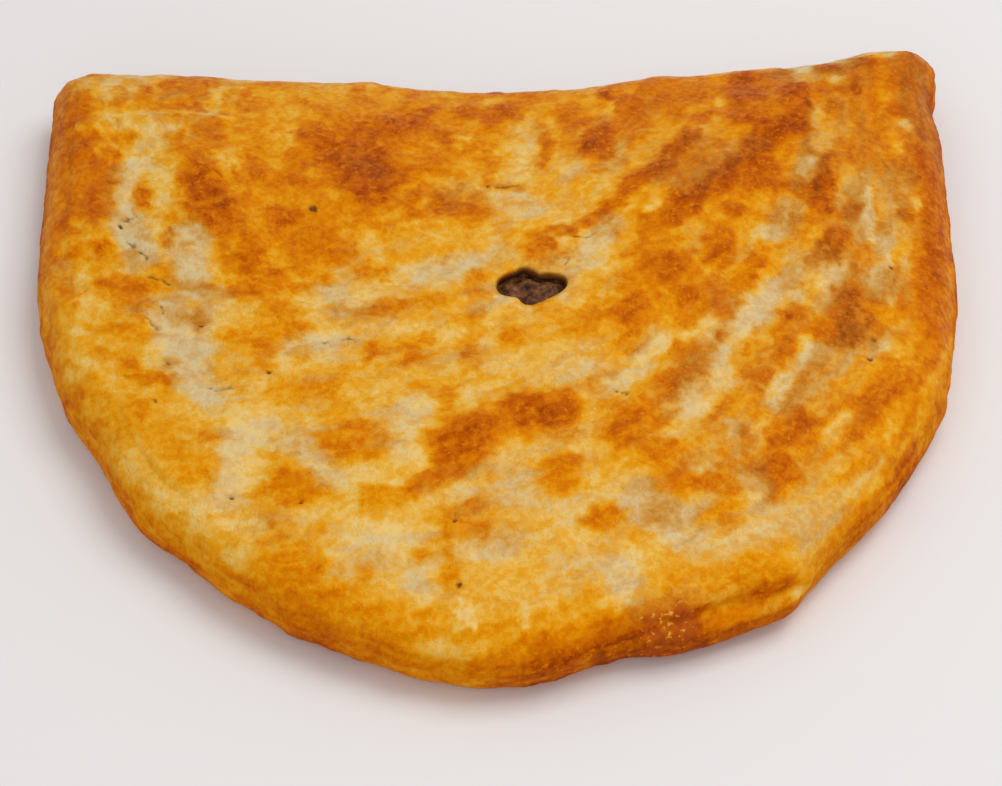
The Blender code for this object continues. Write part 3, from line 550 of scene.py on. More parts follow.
# Smooth ranges, as (low, high), or with the values at low and at high after them.
# The pale flecks are partly painted glints, small highlights on the blisters.
FLECK_RANGE = (0.56, 0.68)
BLUSH_FLECKS = (0.6, 0.95, 0.0, 0.5)
BROWN_FLECKS = (0.55, 0.85, 0.04, 0.2)
ROSY_PATCHES = (0.3, 0.7, 0.1, 0.5)
DARK_MARK_SHADE_RANGE = (0.35, 0.95, 0.0, 0.9)
PASTRY_ROUGHNESS = (0.35, 0.65, 0.32, 0.56)
MEAT_ROUGHNESS = (0.3, 0.7, 0.25, 0.5)

DARK_MARK_SHADE_MOTTLE = 0.4            # how much the mottle breaks up pinholes and cracks
VENT_WALL_SHADE_SHARE = 0.92        # how far the vent's wall goes towards its painted shade
SIDE_ROUGHNESS = 0.35         # how much rougher the rolled edge is
PASTRY_SPECULAR = 0.08
MEAT_SPECULAR = 0.12
SHEEN_TINT = (1.0, 0.62, 0.2, 1.0)
GLOW = 0.05                   # the share of light that spreads inside the pastry
GLOW_DEPTH = 2.0              # how far, in millimetres
GLOW_REACH = (1.0, 0.5, 0.2)  # red goes furthest
FLECK_BUMP = 0.4              # how high the flecks stand against the mottle

# Bumps, as (height in millimetres, strength).
COARSE_BUMP = (0.9, 0.5)
GRAIN_BUMP = (0.3, 0.2)
MEAT_BUMP = (1.2, 0.8)

# ---- Shape functions, which follow the CAD's ----


def ease(t):
    """Smooth step from 0 to 1 while t goes from 0 to 1."""
    t = np.clip(t, 0.0, 1.0)
    return t * t * (3.0 - 2.0 * t)


def fade(values, none, full):
    """Smooth step from 0 at none to 1 at full, which may be the lower of the two."""
    return ease((values - none) / (full - none))


def bell(t):
    """1 at t = 0, falling smoothly to nearly 0 beyond t = 2."""
    return np.exp(-t * t)


def distance_to_dot(points, x, y):
    """Distance in plan from each point to (x, y)."""
    return np.hypot(points[:, 0] - x, points[:, 1] - y)


def distance_to_line(points, x0, y0, x1, y1):
    """Distance in plan from each point to the stretch from (x0, y0) to (x1, y1), which may be a dot."""
    start = np.array((x0, y0), float)
    along = np.array((x1, y1), float) - start
    share = np.clip((points[:, :2] - start) @ along / max(along @ along, 1e-9), 0.0, 1.0)
    return np.linalg.norm(points[:, :2] - start - share[:, None] * along, axis=1)


def raised(points, bumps):
    """The sum at each point of the bumps (x, y, width, height)."""
    height = np.zeros(len(points))
    for x, y, width, rise in bumps:
        height += rise * bell(distance_to_dot(points, x, y) / width)
    return height


def bow_quarter(side, exponent, turn):
    """Half of the bowed front, a superellipse quarter; side is -1 on the left and 1 on the right."""
    x = side * HALF_WIDTH * np.abs(np.cos(turn)) ** (2.0 / exponent)
    y = BOW_Y - (BOW_Y - FRONT_Y) * np.abs(np.sin(turn)) ** (2.0 / exponent)
    return np.column_stack((x, y))


def back_corner(centre_x, centre_y, radius, first, last):
    """A rounded back corner, as an arc from the direction first to the direction last, in degrees."""
    turn = np.radians(np.linspace(first, last, CORNER_POINTS))
    return np.column_stack((centre_x + radius * np.cos(turn), centre_y + radius * np.sin(turn)))


def back_edge(x):
    """The long back edge, dipped in the middle and kicked back at the right corner."""
    left = (BACK_LEFT - BACK_MIDDLE) * np.clip(-x / (HALF_WIDTH - CORNER_LEFT), 0.0, 1.0)
    climb = BACK_RISE * ease(x / BACK_RISE_END)
    kick = (BACK_RIGHT - BACK_MIDDLE - BACK_RISE) * ease((x - KICK_START) / KICK_RUN)
    return np.column_stack((x, BACK_MIDDLE + left + climb + kick))


def resample(points, count, turn_weight=0.0):
    """Space count points along a closed line, closer together where it turns."""
    closed = np.vstack((points, points[:1]))
    step = np.diff(closed, axis=0)
    length = np.hypot(step[:, 0], step[:, 1])
    heading = np.unwrap(np.arctan2(step[:, 1], step[:, 0]))
    turn = np.abs(np.roll(heading, -1) - heading)
    turn[-1] = turn[-2]
    travelled = np.concatenate(([0.0], np.cumsum(length + turn_weight * turn)))
    wanted = np.linspace(0.0, travelled[-1], count, endpoint=False)
    x = np.interp(wanted, travelled, closed[:, 0])
    y = np.interp(wanted, travelled, closed[:, 1])
    return np.column_stack((x, y))


def smooth(points, passes):
    """Ease a closed line's points towards their neighbours."""
    for _ in range(passes):
        points = (np.roll(points, 1, axis=0) + 2.0 * points + np.roll(points, -1, axis=0)) / 4.0
    return points


def outward(points):
    """Unit normals of a closed line that runs anticlockwise."""
    along = np.roll(points, -1, axis=0) - np.roll(points, 1, axis=0)
    along /= np.linalg.norm(along, axis=1)[:, None]
    return np.column_stack((along[:, 1], -along[:, 0]))


def outline():
    """The pie's widest line seen from above, anticlockwise from its left side."""
    turn = np.radians(np.linspace(0.0, 90.0, BOW_POINTS))
    right_x = HALF_WIDTH - CORNER_RIGHT
    left_x = HALF_WIDTH - CORNER_LEFT
    pieces = (
        bow_quarter(-1, BOW_LEFT, turn),
        bow_quarter(1, BOW_RIGHT, turn[::-1]),
        back_corner(right_x, BACK_RIGHT - CORNER_RIGHT, CORNER_RIGHT, 0, 90),
        back_edge(np.linspace(right_x, -left_x, BACK_POINTS)),
        back_corner(-left_x, BACK_LEFT - CORNER_LEFT, CORNER_LEFT, 90, 180),
    )
    line = smooth(resample(np.vstack(pieces), DRAFT_POINTS), DRAFT_PASSES)
    return line + raised(line, EDGE_BUMPS)[:, None] * outward(line)


def vent_radius(direction):
    """The vent's reach from its centre, for each direction in radians."""
    across = np.hypot(np.cos(direction) / VENT_HALF_LENGTH, np.sin(direction) / VENT_HALF_WIDTH)
    reach = 1.0 / across
    for middle, spread, out in VENT_LOBES:
        turned = (np.degrees(direction) - middle + 180.0) % 360.0 - 180.0
        reach += out * bell(turned / spread)
    return reach


def lid_relief(points):
    """Height of the swells, furrows and seams at each point of the lid."""
    relief = np.zeros(len(points))
    for x0, y0, x1, y1, width, height in LID_SWELLS + LID_SEAMS:
        relief += height * bell(distance_to_line(points, x0, y0, x1, y1) / width)
    return relief


def edge_height(points):
    """Height of the rolled edge beside each point."""
    return EDGE_HEIGHT + raised(points, EDGE_RISES)


def inset_from_edge(points):
    """Distance in from the widest line, rounded off in the corners so that the lid has no ridges.

    Beside a straight edge, the edge's pull of 1 / gap^4 adds up to pi / (2 distance^3).
    """
    gaps = np.linalg.norm(points[:, None, :2] - TRACE[None, :, :], axis=2)
    spacing = np.linalg.norm(TRACE - np.roll(TRACE, 1, axis=0), axis=1)
    pull = (spacing / gaps ** 4).sum(axis=1)
    return (2.0 / np.pi * pull) ** (-1.0 / 3.0)


def crown(points):
    """Height of the smooth lid, which climbs from the rolled edge to the middle."""
    inset = inset_from_edge(points) - EDGE_ROLL * (1.0 - np.cos(ROLL_END))
    short = 1.0 - np.clip(inset / CROWN_RUN, 0.0, 1.0)
    base = WAIST_HEIGHT + (edge_height(points) - WAIST_HEIGHT) * np.sin(ROLL_END)
    return base + (CROWN_HEIGHT - base) * (1.0 - short * short)


def lean(points):
    """The outward direction at points of the edge, eased round corners so that insets don't cross."""
    gaps = np.linalg.norm(points[:, None, :2] - TRACE[None, :, :], axis=2)
    direction = bell(gaps / LEAN_REACH) @ outward(TRACE)
    return direction / np.linalg.norm(direction, axis=1)[:, None]


def tuck(points):
    """1 along the turned-under sheet at the front right, fading to 0 past its ends."""
    return ease(TUCK_FADE_END - distance_to_line(points, *TUCK_START, *TUCK_END) / TUCK_FADE)


TRACE = resample(outline(), TRACE_POINTS)


def rolled_ring(line, turn, height, roll):
    """A ring of the rolled edge: turn is 0 at the widest line and 90 degrees at height."""
    inset = roll * (1.0 - np.cos(turn))
    z = WAIST_HEIGHT + (height - WAIST_HEIGHT) * np.sin(turn)
    lip = TUCK_REACH * ease((TUCK_HEIGHT - z) / TUCK_STEP) * ease(z / TUCK_STEP)
    crease = TUCK_CREASE * bell((z - TUCK_HEIGHT - TUCK_CREASE_RISE) / TUCK_STEP)
    plan = line + (tuck(line) * (lip - crease) - inset)[:, None] * lean(line)
    return at_height(plan, z)


def upper_edge_ring(line, turn):
    """A ring of the upper edge, between the widest line and the lid."""
    return rolled_ring(line, turn, edge_height(line), EDGE_ROLL)


def foot_ring(line, turn):
    """A ring of the lower edge, between the widest line and the underside."""
    return rolled_ring(line, turn, 0.0, FOOT_ROLL)


def vent_ring(line, inset):
    """The vent's shape drawn in by inset, with a point facing each point of the line, at z = 0."""
    toward = line - np.array(VENT_CENTRE)
    direction = np.arctan2(toward[:, 1], toward[:, 0])
    reach = vent_radius(direction) - inset
    x = VENT_CENTRE[0] + reach * np.cos(direction)
    y = VENT_CENTRE[1] + reach * np.sin(direction)
    return np.column_stack((x, y, np.zeros(len(line))))


def lid_ring(line, share):
    """A ring of the lid, share of the way from the rolled edge to the vent's rim."""
    edge = upper_edge_ring(line, ROLL_END)
    ring = edge + share * (vent_ring(line, 0.0) - edge)
    return at_height(ring, crown(ring) + lid_relief(ring) * ease(inset_from_edge(ring) / EDGE_ROLL))


def at_height(ring, z):
    """The same ring at another height."""
    return np.column_stack((ring[:, :2], np.broadcast_to(z, len(ring))))


def shrunk(ring, share, z):
    """A ring drawn towards the vent's centre, to share of its size."""
    plan = np.array(VENT_CENTRE) + share * (ring[:, :2] - np.array(VENT_CENTRE))
    return at_height(plan, z)


def cavity_rings(line, spare):
    """Rings of the space inside the crust, from the vent's mouth out, down and back to its floor."""
    edge = upper_edge_ring(line, ROLL_END)
    mouth = vent_ring(line, spare - MOUTH_UNDERCUT)
    span = mouth - edge
    reach = np.linalg.norm(span[:, :2], axis=1)[:, None]
    shoulder = edge + span * (SHOULDER_INSET + spare) / reach
    rings = []
    for share in CEILING_SHARES:
        ring = mouth + share * (shoulder - mouth)
        rings.append(at_height(ring, crown(ring) - LID_THICKNESS - spare))
    for inset, z in CAVITY_SIDE:
        lift = -spare if z > WAIST_HEIGHT else spare
        plan = line - (WALL_THICKNESS + inset + spare) * lean(line)
        rings.append(at_height(plan, z + lift))
    floor = rings[-1]
    for share in reversed(FLOOR_SHARES):
        rings.append(shrunk(floor, share, FLOOR_THICKNESS + spare))
    return rings


def filling_lumps(points):
    """Pieces of meat that stand up in the vent, from 0 between them to 1 on top of one."""
    lumps = np.zeros(len(points))
    for x, y, width in MEAT_PIECES:
        lumps = np.maximum(lumps, bell(distance_to_dot(points, x, y) / width))
    return lumps


# ---- Noise and strokes ----


def noise(points, size, seed):
    """Smooth noise from about -1 to 1, with features of about the given size."""
    values = np.random.default_rng(seed).uniform(-1.0, 1.0, (NOISE_CELLS,) * 3)
    place = points / size + seed * SEED_SHIFT
    cell = np.floor(place).astype(int)
    share = place - cell
    share = share * share * share * (share * (share * 6.0 - 15.0) + 10.0)
    total = np.zeros(len(points))
    for corner in np.ndindex(2, 2, 2):
        weight = np.prod(np.where(corner, share, 1.0 - share), axis=1)
        index = (cell + corner) % NOISE_CELLS
        total += weight * values[index[:, 0], index[:, 1], index[:, 2]]
    return NOISE_GAIN * total


def fractal(points, size, seed):
    """Noise with finer noise on top, each octave half the size and half as strong."""
    total = np.zeros(len(points))
    for octave in range(OCTAVES):
        total += 0.5 ** octave * noise(points, size * 0.5 ** octave, seed + octave)
    return total


def warped(points):
    """Points moved about in plan, so that strokes get ragged edges."""
    moved = points[:, :2].copy()
    for axis in (0, 1):
        for shift, size, seed in RAGGED:
            moved[:, axis] += shift * noise(points, size, seed + axis)
    return moved


def curled(points):
    """Points laid out along the arcs in which the dough was drawn, so that noise runs in streaks."""
    x, y = points[:, 0] - STREAK_CENTRE[0], points[:, 1] - STREAK_CENTRE[1]
    along = STREAK_RADIUS * np.arctan2(x, -y) / STREAK_STRETCH
    return np.column_stack((np.hypot(x, y), along, points[:, 2]))


def islands(points, size, seed):
    """Noise flattened into patches with clear edges, from -0.5 to 0.5."""
    return ease(0.5 + ISLAND_SHARPNESS * noise(points, size, seed)) - 0.5


def painted(points, brushes):
    """How strongly the marks cover each point, from 0 to 1; where they overlap, they build up."""
    bare = np.ones(len(points))
    for half_width, strength, *marks in brushes:
        for mark in marks:
            path = list(zip(mark[::2], mark[1::2]))
            gap = np.full(len(points), np.inf)
            for start, end in zip(path, path[1:] or path):
                gap = np.minimum(gap, distance_to_line(points, *start, *end))
            bare *= 1.0 - strength * bell((gap / (STROKE_SPREAD * half_width)) ** EDGE_POWER)
    return 1.0 - bare


def dark_marks(points, moved):
    """How strongly the pinholes and cracks show at each point, from 0 to 1."""
    specks = np.zeros(len(points))
    for x, y, radius in PINHOLES:
        specks = np.maximum(specks, bell(distance_to_dot(points, x, y) / (PINHOLE_SPREAD * radius)))
    cracks = np.zeros(len(points))
    for crack in CRACKS:
        cracks = np.maximum(cracks, bell(distance_to_line(moved, *crack) / CRACK_WIDTH))
    return np.maximum(specks, CRACK_STRENGTH * cracks)


# ---- Meshes ----


def added(name, data):
    """A new object with this data, linked into the scene."""
    made = bpy.data.objects.new(name, data)
    bpy.context.scene.collection.objects.link(made)
    return made


class RingSurface:
    """A closed surface laid ring by ring, from one point to another."""

    def __init__(self, tip):
        self.rings = [np.array([tip], float)]
        self.faces = []
        self.start = 0

    def add_ring(self, ring):
        """Add a ring and join it to the one before, which may have twice or half its points."""
        last = self.start + np.arange(len(self.rings[-1]))
        self.start += len(last)
        fresh = self.start + np.arange(len(ring))
        self.rings.append(ring)
        if len(last) == 1:
            self.join_fan(fresh[::-1], last[0])
        elif len(fresh) == 1:
            self.join_fan(last, fresh[0])
        elif len(last) == len(fresh):
            ahead = np.roll(last, -1)
            self.faces += np.column_stack((last, ahead, np.roll(fresh, -1), fresh)).tolist()
        elif len(last) > len(fresh):
            self.join_halved(last, fresh, 1)
        else:
            self.join_halved(fresh, last, -1)

    def join_fan(self, ring, tip):
        """Join a ring to one point."""
        self.faces += np.column_stack((ring, np.roll(ring, -1), np.full(len(ring), tip))).tolist()

    def join_halved(self, fine, coarse, order):
        """Join rings where one has half the points of the other, three triangles to a coarse point."""
        first, middle, last = fine[::2], fine[1::2], np.roll(fine[::2], -1)
        far = np.roll(coarse, -1)
        for face in ((first, middle, coarse), (middle, far, coarse), (middle, last, far)):
            self.faces += np.column_stack(face)[:, ::order].tolist()

    def points(self):
        """All points so far, in the order of their rings."""
        return np.vstack(self.rings)

    def make(self, name):
        """The mesh object, smooth-shaded."""
        data = bpy.data.meshes.new(name)
        data.from_pydata((self.points() * MM).tolist(), [], self.faces)
        data.shade_smooth()
        return added(name, data)


def normals_of(made):
    """The mesh's vertex normals."""
    normals = np.empty(3 * len(made.data.vertices))
    made.data.vertex_normals.foreach_get("vector", normals)
    return normals.reshape(-1, 3)


def set_points(made, points):
    """Move the mesh's points, given in millimetres."""
    made.data.vertices.foreach_set("co", (points * MM).ravel())
    made.data.update()


def crust_surface():
    """The rings of the crust, whether each point shows, and how deep it lies in the vent."""
    line = resample(outline(), OUTER_COUNT, TURN_WEIGHT)
    half, quarter, eighth = line[::2], line[::4], line[::8]
    surface = RingSurface((*VENT_CENTRE, 0.0))
    for share in FLOOR_SHARES:
        surface.add_ring(shrunk(foot_ring(eighth, np.pi / 2.0), share, 0.0))
    for thinned, share in zip((quarter, half), FOOT_SHARES):
        surface.add_ring(shrunk(foot_ring(thinned, np.pi / 2.0), share, 0.0))
    for turn in np.linspace(np.pi / 2.0, 0.0, FOOT_STEPS, endpoint=False):
        surface.add_ring(foot_ring(line, turn))
    for turn in np.linspace(0.0, ROLL_END, EDGE_STEPS, endpoint=False):
        surface.add_ring(upper_edge_ring(line, turn))
    surface.add_ring(lid_ring(line, 0.0))
    for thinned, (start, end, steps) in zip((line, half, quarter), LID_ZONES):
        for share in np.linspace(start, end, steps + 1)[1:]:
            surface.add_ring(lid_ring(thinned, share))
    rim = lid_ring(quarter, 1.0)
    depth = np.zeros(len(surface.points()))
    for share, drop in VENT_WALL:
        ring = vent_ring(quarter, share * VENT_LIP)
        surface.add_ring(at_height(ring, rim[:, 2] - drop))
        depth = np.append(depth, np.full(len(ring), drop))
    shown = len(surface.points())
    for ring in cavity_rings(eighth, 0.0):
        surface.add_ring(ring)
    surface.add_ring(np.array([(*VENT_CENTRE, FLOOR_THICKNESS)]))
    count = len(surface.points())
    return surface, np.arange(count) < shown, np.append(depth, np.zeros(count - shown))


def shift_to_frame():
    """How far the CAD moved its outline to centre it on the origin."""
    line = resample(outline(), OUTER_COUNT, TURN_WEIGHT)
    low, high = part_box("crust")
    middle = (line.min(axis=0) + line.max(axis=0)) / 2.0
    return np.array((*((np.array(low) + np.array(high))[:2] / 2.0 / MM - middle), 0.0))


def blister_height(points, normals):
    """Small domes raised by steam, scattered over the lid and the upper edge."""
    draw = np.random.default_rng(BLISTER_SEED)
    height = np.zeros(len(points))
    for _ in range(BLISTERS):
        x = draw.uniform(-HALF_WIDTH, HALF_WIDTH)
        y = draw.uniform(-BACK_RIGHT, BACK_RIGHT)
        radius = draw.uniform(*BLISTER_RADIUS)
        rise = draw.uniform(*BLISTER_RISE)
        gap = distance_to_dot(points, x, y) / radius
        near = gap < BLISTER_REACH
        height[near] = np.maximum(height[near], rise * bell(gap[near]))
    return height * fade(normals[:, 2], *BLISTER_FACING)


def make_crust():
    """The browned pastry, with its relief and the attributes that its material reads."""
    surface, shown, depth = crust_surface()
    made = surface.make("crust_pastry")
    points = surface.points()
    normals = normals_of(made)
    side = shown * fade(normals[:, 2], *SIDE_FACING) * fade(points[:, 2], *SIDE_HEIGHT)
    lid = shown * fade(normals[:, 2], *LID_FACING)
    moved = warped(points)
    moved_points = np.column_stack((moved, points[:, 2]))
    streaks = curled(moved_points)
    mottle = fractal(streaks, *MOTTLE)
    brown = np.clip(painted(moved, BROWN) * (1.0 + BROWN_MOTTLE * mottle), 0.0, 1.0)
    pale = np.clip(painted(moved, PALE_AND_HIGHLIGHTS) * (1.0 - PALE_MOTTLE * mottle), 0.0, 1.0)
    dark = lid * dark_marks(points, moved)
    blisters = blister_height(points, normals)
    layers = fractal(points * LAYER_STRETCH, *LAYERS)

    bake = BASE_BAKE + CLOUD_BAKE * fractal(points, *CLOUDS)
    bake += PATCH_BAKE * islands(streaks, *PATCHES) + SPOT_BAKE * islands(streaks, *SPOTS)
    bake -= VEIN_BAKE * bell(noise(moved_points, *VEINS) / VEIN_WIDTH)
    bake += (1.0 - bake) * BROAD_SHARE * painted(moved, BROAD_BROWN)
    bake *= 1.0 - BROAD_SHARE * painted(moved, BROAD_PALE) * lid
    bake *= 1.0 - PALE_SHARE * pale * lid
    bake += (1.0 - bake) * BROWN_SHARE * brown
    bake += side * (SIDE_BAKE + LAYER_BAKE * layers)
    bake += BLISTER_BAKE * blisters * (1.0 - pale)

    dull = BASE_DULL + DULL_CLOUD * fractal(streaks, *DULL_CLOUDS)
    dull += DULL_SPOT * islands(streaks, *DULL_SPOTS)
    dull *= (1.0 - VIVID_SHARE * painted(moved, VIVID)) * (1.0 - BROWN_VIVID_SHARE * brown)
    dull = np.clip(dull + painted(moved, DULL) * (1.0 + DULL_MOTTLE * mottle), 0.0, 1.0)

    relief = WAVE_HEIGHT * fractal(points, *WAVES) + LUMP_HEIGHT * fractal(points, *LUMPS)
    relief += BROWN_HEIGHT * brown + blisters + LAYER_HEIGHT * layers * side - DARK_DEPTH * dark
    relief *= shown * fade(points[:, 2], *RELIEF_HEIGHT)
    set_points(made, points + shift_to_frame() + relief[:, None] * normals)

    looks = {
        "bake": np.clip(bake, 0.0, 1.0),
        "dull": dull * (1.0 - SIDE_VIVID_SHARE * side),
        "blush": shown * painted(moved, BLUSH),
        "dark": dark,
        "side": side,
        # depth below the vent's rim, which the material turns into painted shade on the vent's wall
        "depth": fade(depth, *VENT_DEPTH),
    }
    for name, values in looks.items():
        made.data.attributes.new(name, "FLOAT", "POINT").data.foreach_set("value", values)
    made.data.materials.append(pastry_material())
    return made


def make_filling():
    """The meat under the lid, lumpy where the vent shows it."""
    line = resample(outline(), OUTER_COUNT, TURN_WEIGHT)[::4]
    mouth = cavity_rings(line, CLEARANCE)[0]
    surface = RingSurface((*VENT_CENTRE, mouth[:, 2].mean() + FILLING_TOP[0][1]))
    for share, rise in FILLING_TOP:
        ring = shrunk(mouth, share, mouth[:, 2] + rise)
        lumps = FILLING_LUMP * filling_lumps(ring) + MEAT_LUMP_HEIGHT * fractal(ring, *MEAT_LUMPS)
        surface.add_ring(at_height(ring, ring[:, 2] + lumps))
    for ring in cavity_rings(line[::2], CLEARANCE):
        surface.add_ring(ring)
    surface.add_ring(np.array([(*VENT_CENTRE, FLOOR_THICKNESS + CLEARANCE)]))
    surface.faces = [face[::-1] for face in surface.faces]
    made = surface.make("meat_filling")
    set_points(made, surface.points() + shift_to_frame())
    made.data.materials.append(meat_material())
    return made


# ---- Materials ----


def linear(colour):
    """An sRGB colour of 0 to 255 as the linear RGBA that Blender's sockets take."""
    share = np.array(colour) / 255.0
    value = np.where(share <= 0.04045, share / 12.92, ((share + 0.055) / 1.055) ** 2.4)
    return (*value, 1.0)


class Tree:
    """A new Principled material and short ways to add nodes to it."""

    def __init__(self, name):
        self.material = bpy.data.materials.new(name)
        self.material.use_nodes = True
        self.nodes = self.material.node_tree.nodes
        self.links = self.material.node_tree.links
        self.shader = self.nodes["Principled BSDF"]
        self.place = self.nodes.new("ShaderNodeTexCoord").outputs["Object"]

    def feed(self, socket, value):
        """Link a socket to another, or give it a value."""
        if isinstance(value, bpy.types.NodeSocket):
            self.links.new(value, socket)
        else:
            socket.default_value = value

    def set(self, name, value):
        """Feed one of the shader's own sockets."""
        self.feed(self.shader.inputs[name], value)

    def attribute(self, name):
        """A mesh attribute's number."""
        made = self.nodes.new("ShaderNodeAttribute")
        made.attribute_name = name
        return made.outputs["Fac"]

    def math(self, kind, first, second=0.0, third=0.0):
        """A sum, product and so on of numbers."""
        made = self.nodes.new("ShaderNodeMath")
        made.operation = kind
        for socket, value in zip(made.inputs, (first, second, third)):
            self.feed(socket, value)
        return made.outputs[0]

    def texture(self, size, detail, roughness):
        """Noise from 0 to 1 with features of the given size in millimetres."""
        made = self.nodes.new("ShaderNodeTexNoise")
        made.inputs["Scale"].default_value = 1.0 / (size * MM)
        made.inputs["Detail"].default_value = detail
        made.inputs["Roughness"].default_value = roughness
        self.links.new(self.place, made.inputs["Vector"])
        return made.outputs["Fac"]

    def spread(self, value, low, high, least=0.0, most=1.0):
        """The value's range from low to high stretched smoothly over least to most."""
        made = self.nodes.new("ShaderNodeMapRange")
        made.interpolation_type = "SMOOTHSTEP"
        for socket, number in zip(made.inputs, (value, low, high, least, most)):
            self.feed(socket, number)
        return made.outputs[0]

    def stirred(self, value, texture, swing, most):
        """The value moved up or down by up to most, where the texture is swing from its middle."""
        return self.math("ADD", value, self.spread(texture, 0.5 - swing, 0.5 + swing, -most, most))

    def ramp(self, value, stops):
        """A colour for each value, between stops of (value, sRGB colour)."""
        made = self.nodes.new("ShaderNodeValToRGB")
        elements = made.color_ramp.elements
        elements[0].position, elements[1].position = stops[0][0], stops[-1][0]
        elements[0].color, elements[1].color = linear(stops[0][1]), linear(stops[-1][1])
        for position, colour in stops[1:-1]:
            elements.new(position).color = linear(colour)
        self.links.new(value, made.inputs["Fac"])
        return made.outputs["Color"]

    def mix(self, share, first, second):
        """From the first colour to the second."""
        made = self.nodes.new("ShaderNodeMix")
        made.data_type = "RGBA"
        self.feed(made.inputs["Factor"], share)
        self.feed(made.inputs[6], first)
        self.feed(made.inputs[7], second)
        return made.outputs[2]

    def bump(self, height, distance, strength, below=None):
        """Fine relief, with distance in millimetres."""
        made = self.nodes.new("ShaderNodeBump")
        made.inputs["Strength"].default_value = strength
        made.inputs["Distance"].default_value = distance * MM
        self.links.new(height, made.inputs["Height"])
        if below is not None:
            self.links.new(below, made.inputs["Normal"])
        return made.outputs["Normal"]


def pastry_material():
    """Egg-washed puff pastry: raw cream to golden to scorched, mottled, with a satin gloss, painted
    shade and glints.
    """
    tree = Tree("baked_pastry")
    patches = tree.texture(*PATCH_TEXTURE)
    mottle = tree.texture(*MOTTLE_TEXTURE)
    grain = tree.texture(*GRAIN_TEXTURE)
    flecks = tree.spread(tree.texture(*FLECK_TEXTURE), *FLECK_RANGE)
    blush = tree.attribute("blush")

    bake = tree.stirred(tree.attribute("bake"), patches, *PATCH_STIR)
    bake = tree.stirred(bake, mottle, *MOTTLE_STIR)
    bake = tree.stirred(bake, grain, *GRAIN_STIR)
    # pale flecks on blush and brown, partly painted glints on the blisters
    pale_flecks_and_glints = tree.math("ADD", tree.spread(blush, *BLUSH_FLECKS), tree.spread(bake, *BROWN_FLECKS))
    bake = tree.math("SUBTRACT", bake, tree.math("MULTIPLY", flecks, pale_flecks_and_glints))
    dull = tree.stirred(tree.attribute("dull"), tree.texture(*DULL_TEXTURE), *DULL_STIR)
    dull = tree.spread(dull, 0.0, 1.0)
    rosy = tree.math("MULTIPLY", blush, tree.spread(patches, *ROSY_PATCHES))
    # pinholes and cracks, whose dark colour is partly painted shade in the pits
    dark_marks_and_shade = tree.math("MULTIPLY_ADD", mottle, DARK_MARK_SHADE_MOTTLE, tree.attribute("dark"))
    # painted shade on the vent's wall, growing deeper below the rim
    painted_wall_shade = tree.math("MULTIPLY", tree.attribute("depth"), VENT_WALL_SHADE_SHARE)

    colour = tree.mix(dull, tree.ramp(bake, BRIGHT_COLOURS), tree.ramp(bake, DULL_COLOURS))
    colour = tree.mix(rosy, colour, linear(BLUSH_COLOUR))
    colour = tree.mix(tree.spread(dark_marks_and_shade, *DARK_MARK_SHADE_RANGE), colour, linear(SPECK_COLOUR))
    tree.set("Base Color", tree.mix(painted_wall_shade, colour, linear(VENT_WALL_SHADE_COLOUR)))
    rough = tree.spread(mottle, *PASTRY_ROUGHNESS)
    tree.set("Roughness", tree.math("MULTIPLY_ADD", tree.attribute("side"), SIDE_ROUGHNESS, rough))
    tree.set("Specular IOR Level", PASTRY_SPECULAR)
    tree.set("Specular Tint", SHEEN_TINT)
    tree.set("Subsurface Weight", GLOW)
    tree.set("Subsurface Radius", GLOW_REACH)
    tree.set("Subsurface Scale", GLOW_DEPTH * MM)
    coarse = tree.bump(tree.math("MULTIPLY_ADD", flecks, FLECK_BUMP, mottle), *COARSE_BUMP)
    tree.set("Normal", tree.bump(grain, *GRAIN_BUMP, coarse))
    return tree.material


def meat_material():
    """Stewed ground meat and onion: dark brown, moist, in paler and darker bits."""
    tree = Tree("stewed_meat")
    bits = tree.texture(*MEAT_TEXTURE)
    tree.set("Base Color", tree.ramp(bits, MEAT_COLOURS))
    tree.set("Roughness", tree.spread(bits, *MEAT_ROUGHNESS))
    tree.set("Specular IOR Level", MEAT_SPECULAR)
    tree.set("Normal", tree.bump(bits, *MEAT_BUMP))
    return tree.material


def floor_material():
    """Plain matte near-white."""
    tree = Tree("pale_floor")
    tree.set("Base Color", linear(FLOOR_COLOUR))
    tree.set("Roughness", FLOOR_ROUGHNESS)
    tree.set("Specular IOR Level", FLOOR_SPECULAR)
    return tree.material


# ---- Floor, light and camera ----

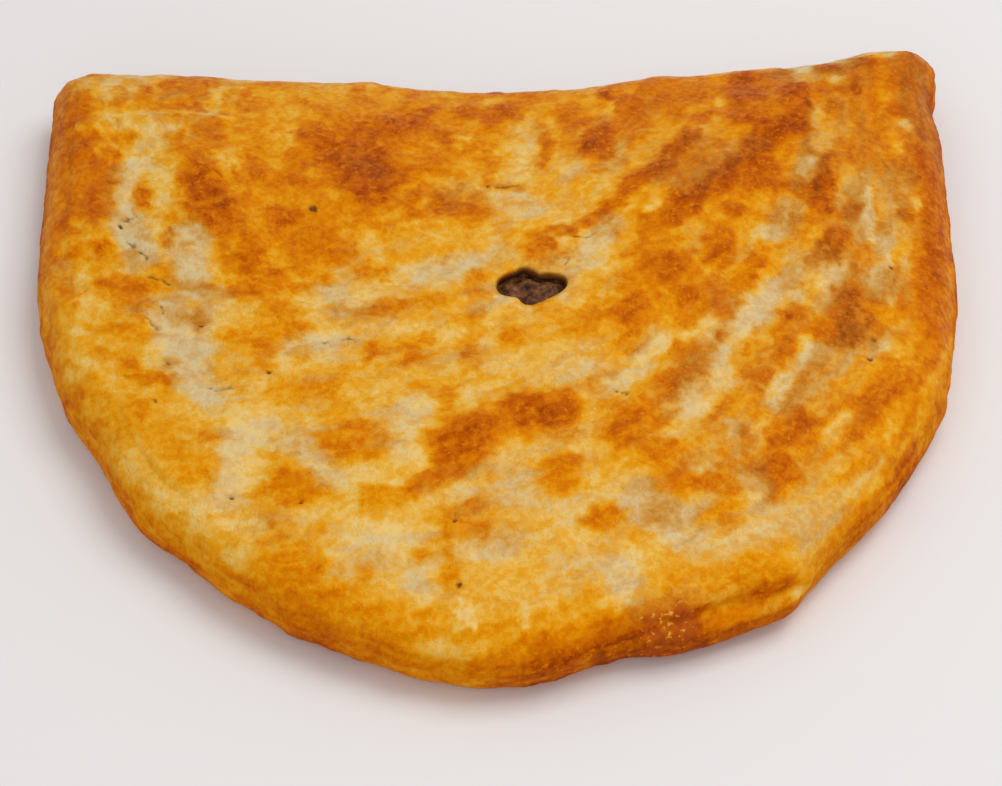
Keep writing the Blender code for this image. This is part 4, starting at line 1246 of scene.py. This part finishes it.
FLOOR_HALF = 3.0              # metres, as are the places and sizes below
FLOOR_ROUGHNESS = 0.9
FLOOR_SPECULAR = 0.1
CAMERA_TARGET = (0.0017, -0.0215, 0.015)
CAMERA_DISTANCE = 1.1
CAMERA_ELEVATION = np.radians(48.0)
CAMERA_LENS = 125.28          # millimetres
CAMERA_SENSOR = 36.0
AMBIENT = 0.56                # strength of the even light from all round

# Lights, as (place, size, watts).
KEY_LIGHT = ((0.55, 0.15, 1.35), 0.9, 9.8)
FILL_LIGHT = ((-0.3, -1.2, 1.0), 1.2, 3.5)


def make_floor():
    """A pale floor for the pie to rest on."""
    data = bpy.data.meshes.new("floor")
    corners = [(x * FLOOR_HALF, y * FLOOR_HALF, 0.0) for x, y in ((-1, -1), (1, -1), (1, 1), (-1, 1))]
    data.from_pydata(corners, [], [(0, 1, 2, 3)])
    data.materials.append(floor_material())
    return added("floor", data)


def aim(made, place, target):
    """Put a light or camera at a place, looking at a target."""
    made.location = place
    made.rotation_euler = (Vector(target) - Vector(place)).to_track_quat("-Z", "Y").to_euler()


def add_light(name, place, size, power):
    """A square softbox that shines at the pie."""
    data = bpy.data.lights.new(name, "AREA")
    data.size = size
    data.energy = power
    aim(added(name, data), place, (0.0, 0.0, 0.0))


def add_ambient():
    """Even light from all round."""
    world = bpy.data.worlds.new("studio")
    world.use_nodes = True
    light = world.node_tree.nodes["Background"]
    light.inputs["Color"].default_value = (1.0, 1.0, 1.0, 1.0)
    light.inputs["Strength"].default_value = AMBIENT
    bpy.context.scene.world = world


def add_camera():
    """The photograph's view: from the front, 48 degrees up."""
    data = bpy.data.cameras.new("camera")
    data.lens = CAMERA_LENS
    data.sensor_width = CAMERA_SENSOR
    made = added("camera", data)
    back = CAMERA_DISTANCE * np.cos(CAMERA_ELEVATION)
    up = CAMERA_DISTANCE * np.sin(CAMERA_ELEVATION)
    x, y, z = CAMERA_TARGET
    aim(made, (x, y - back, z + up), CAMERA_TARGET)
    bpy.context.scene.camera = made


crust = make_crust()
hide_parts("crust")
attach(crust, "root")

filling = make_filling()
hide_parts("filling")
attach(filling, "root")

make_floor()
add_light("key", *KEY_LIGHT)
add_light("fill", *FILL_LIGHT)
add_ambient()
add_camera()
bpy.context.scene.view_settings.view_transform = "Standard"
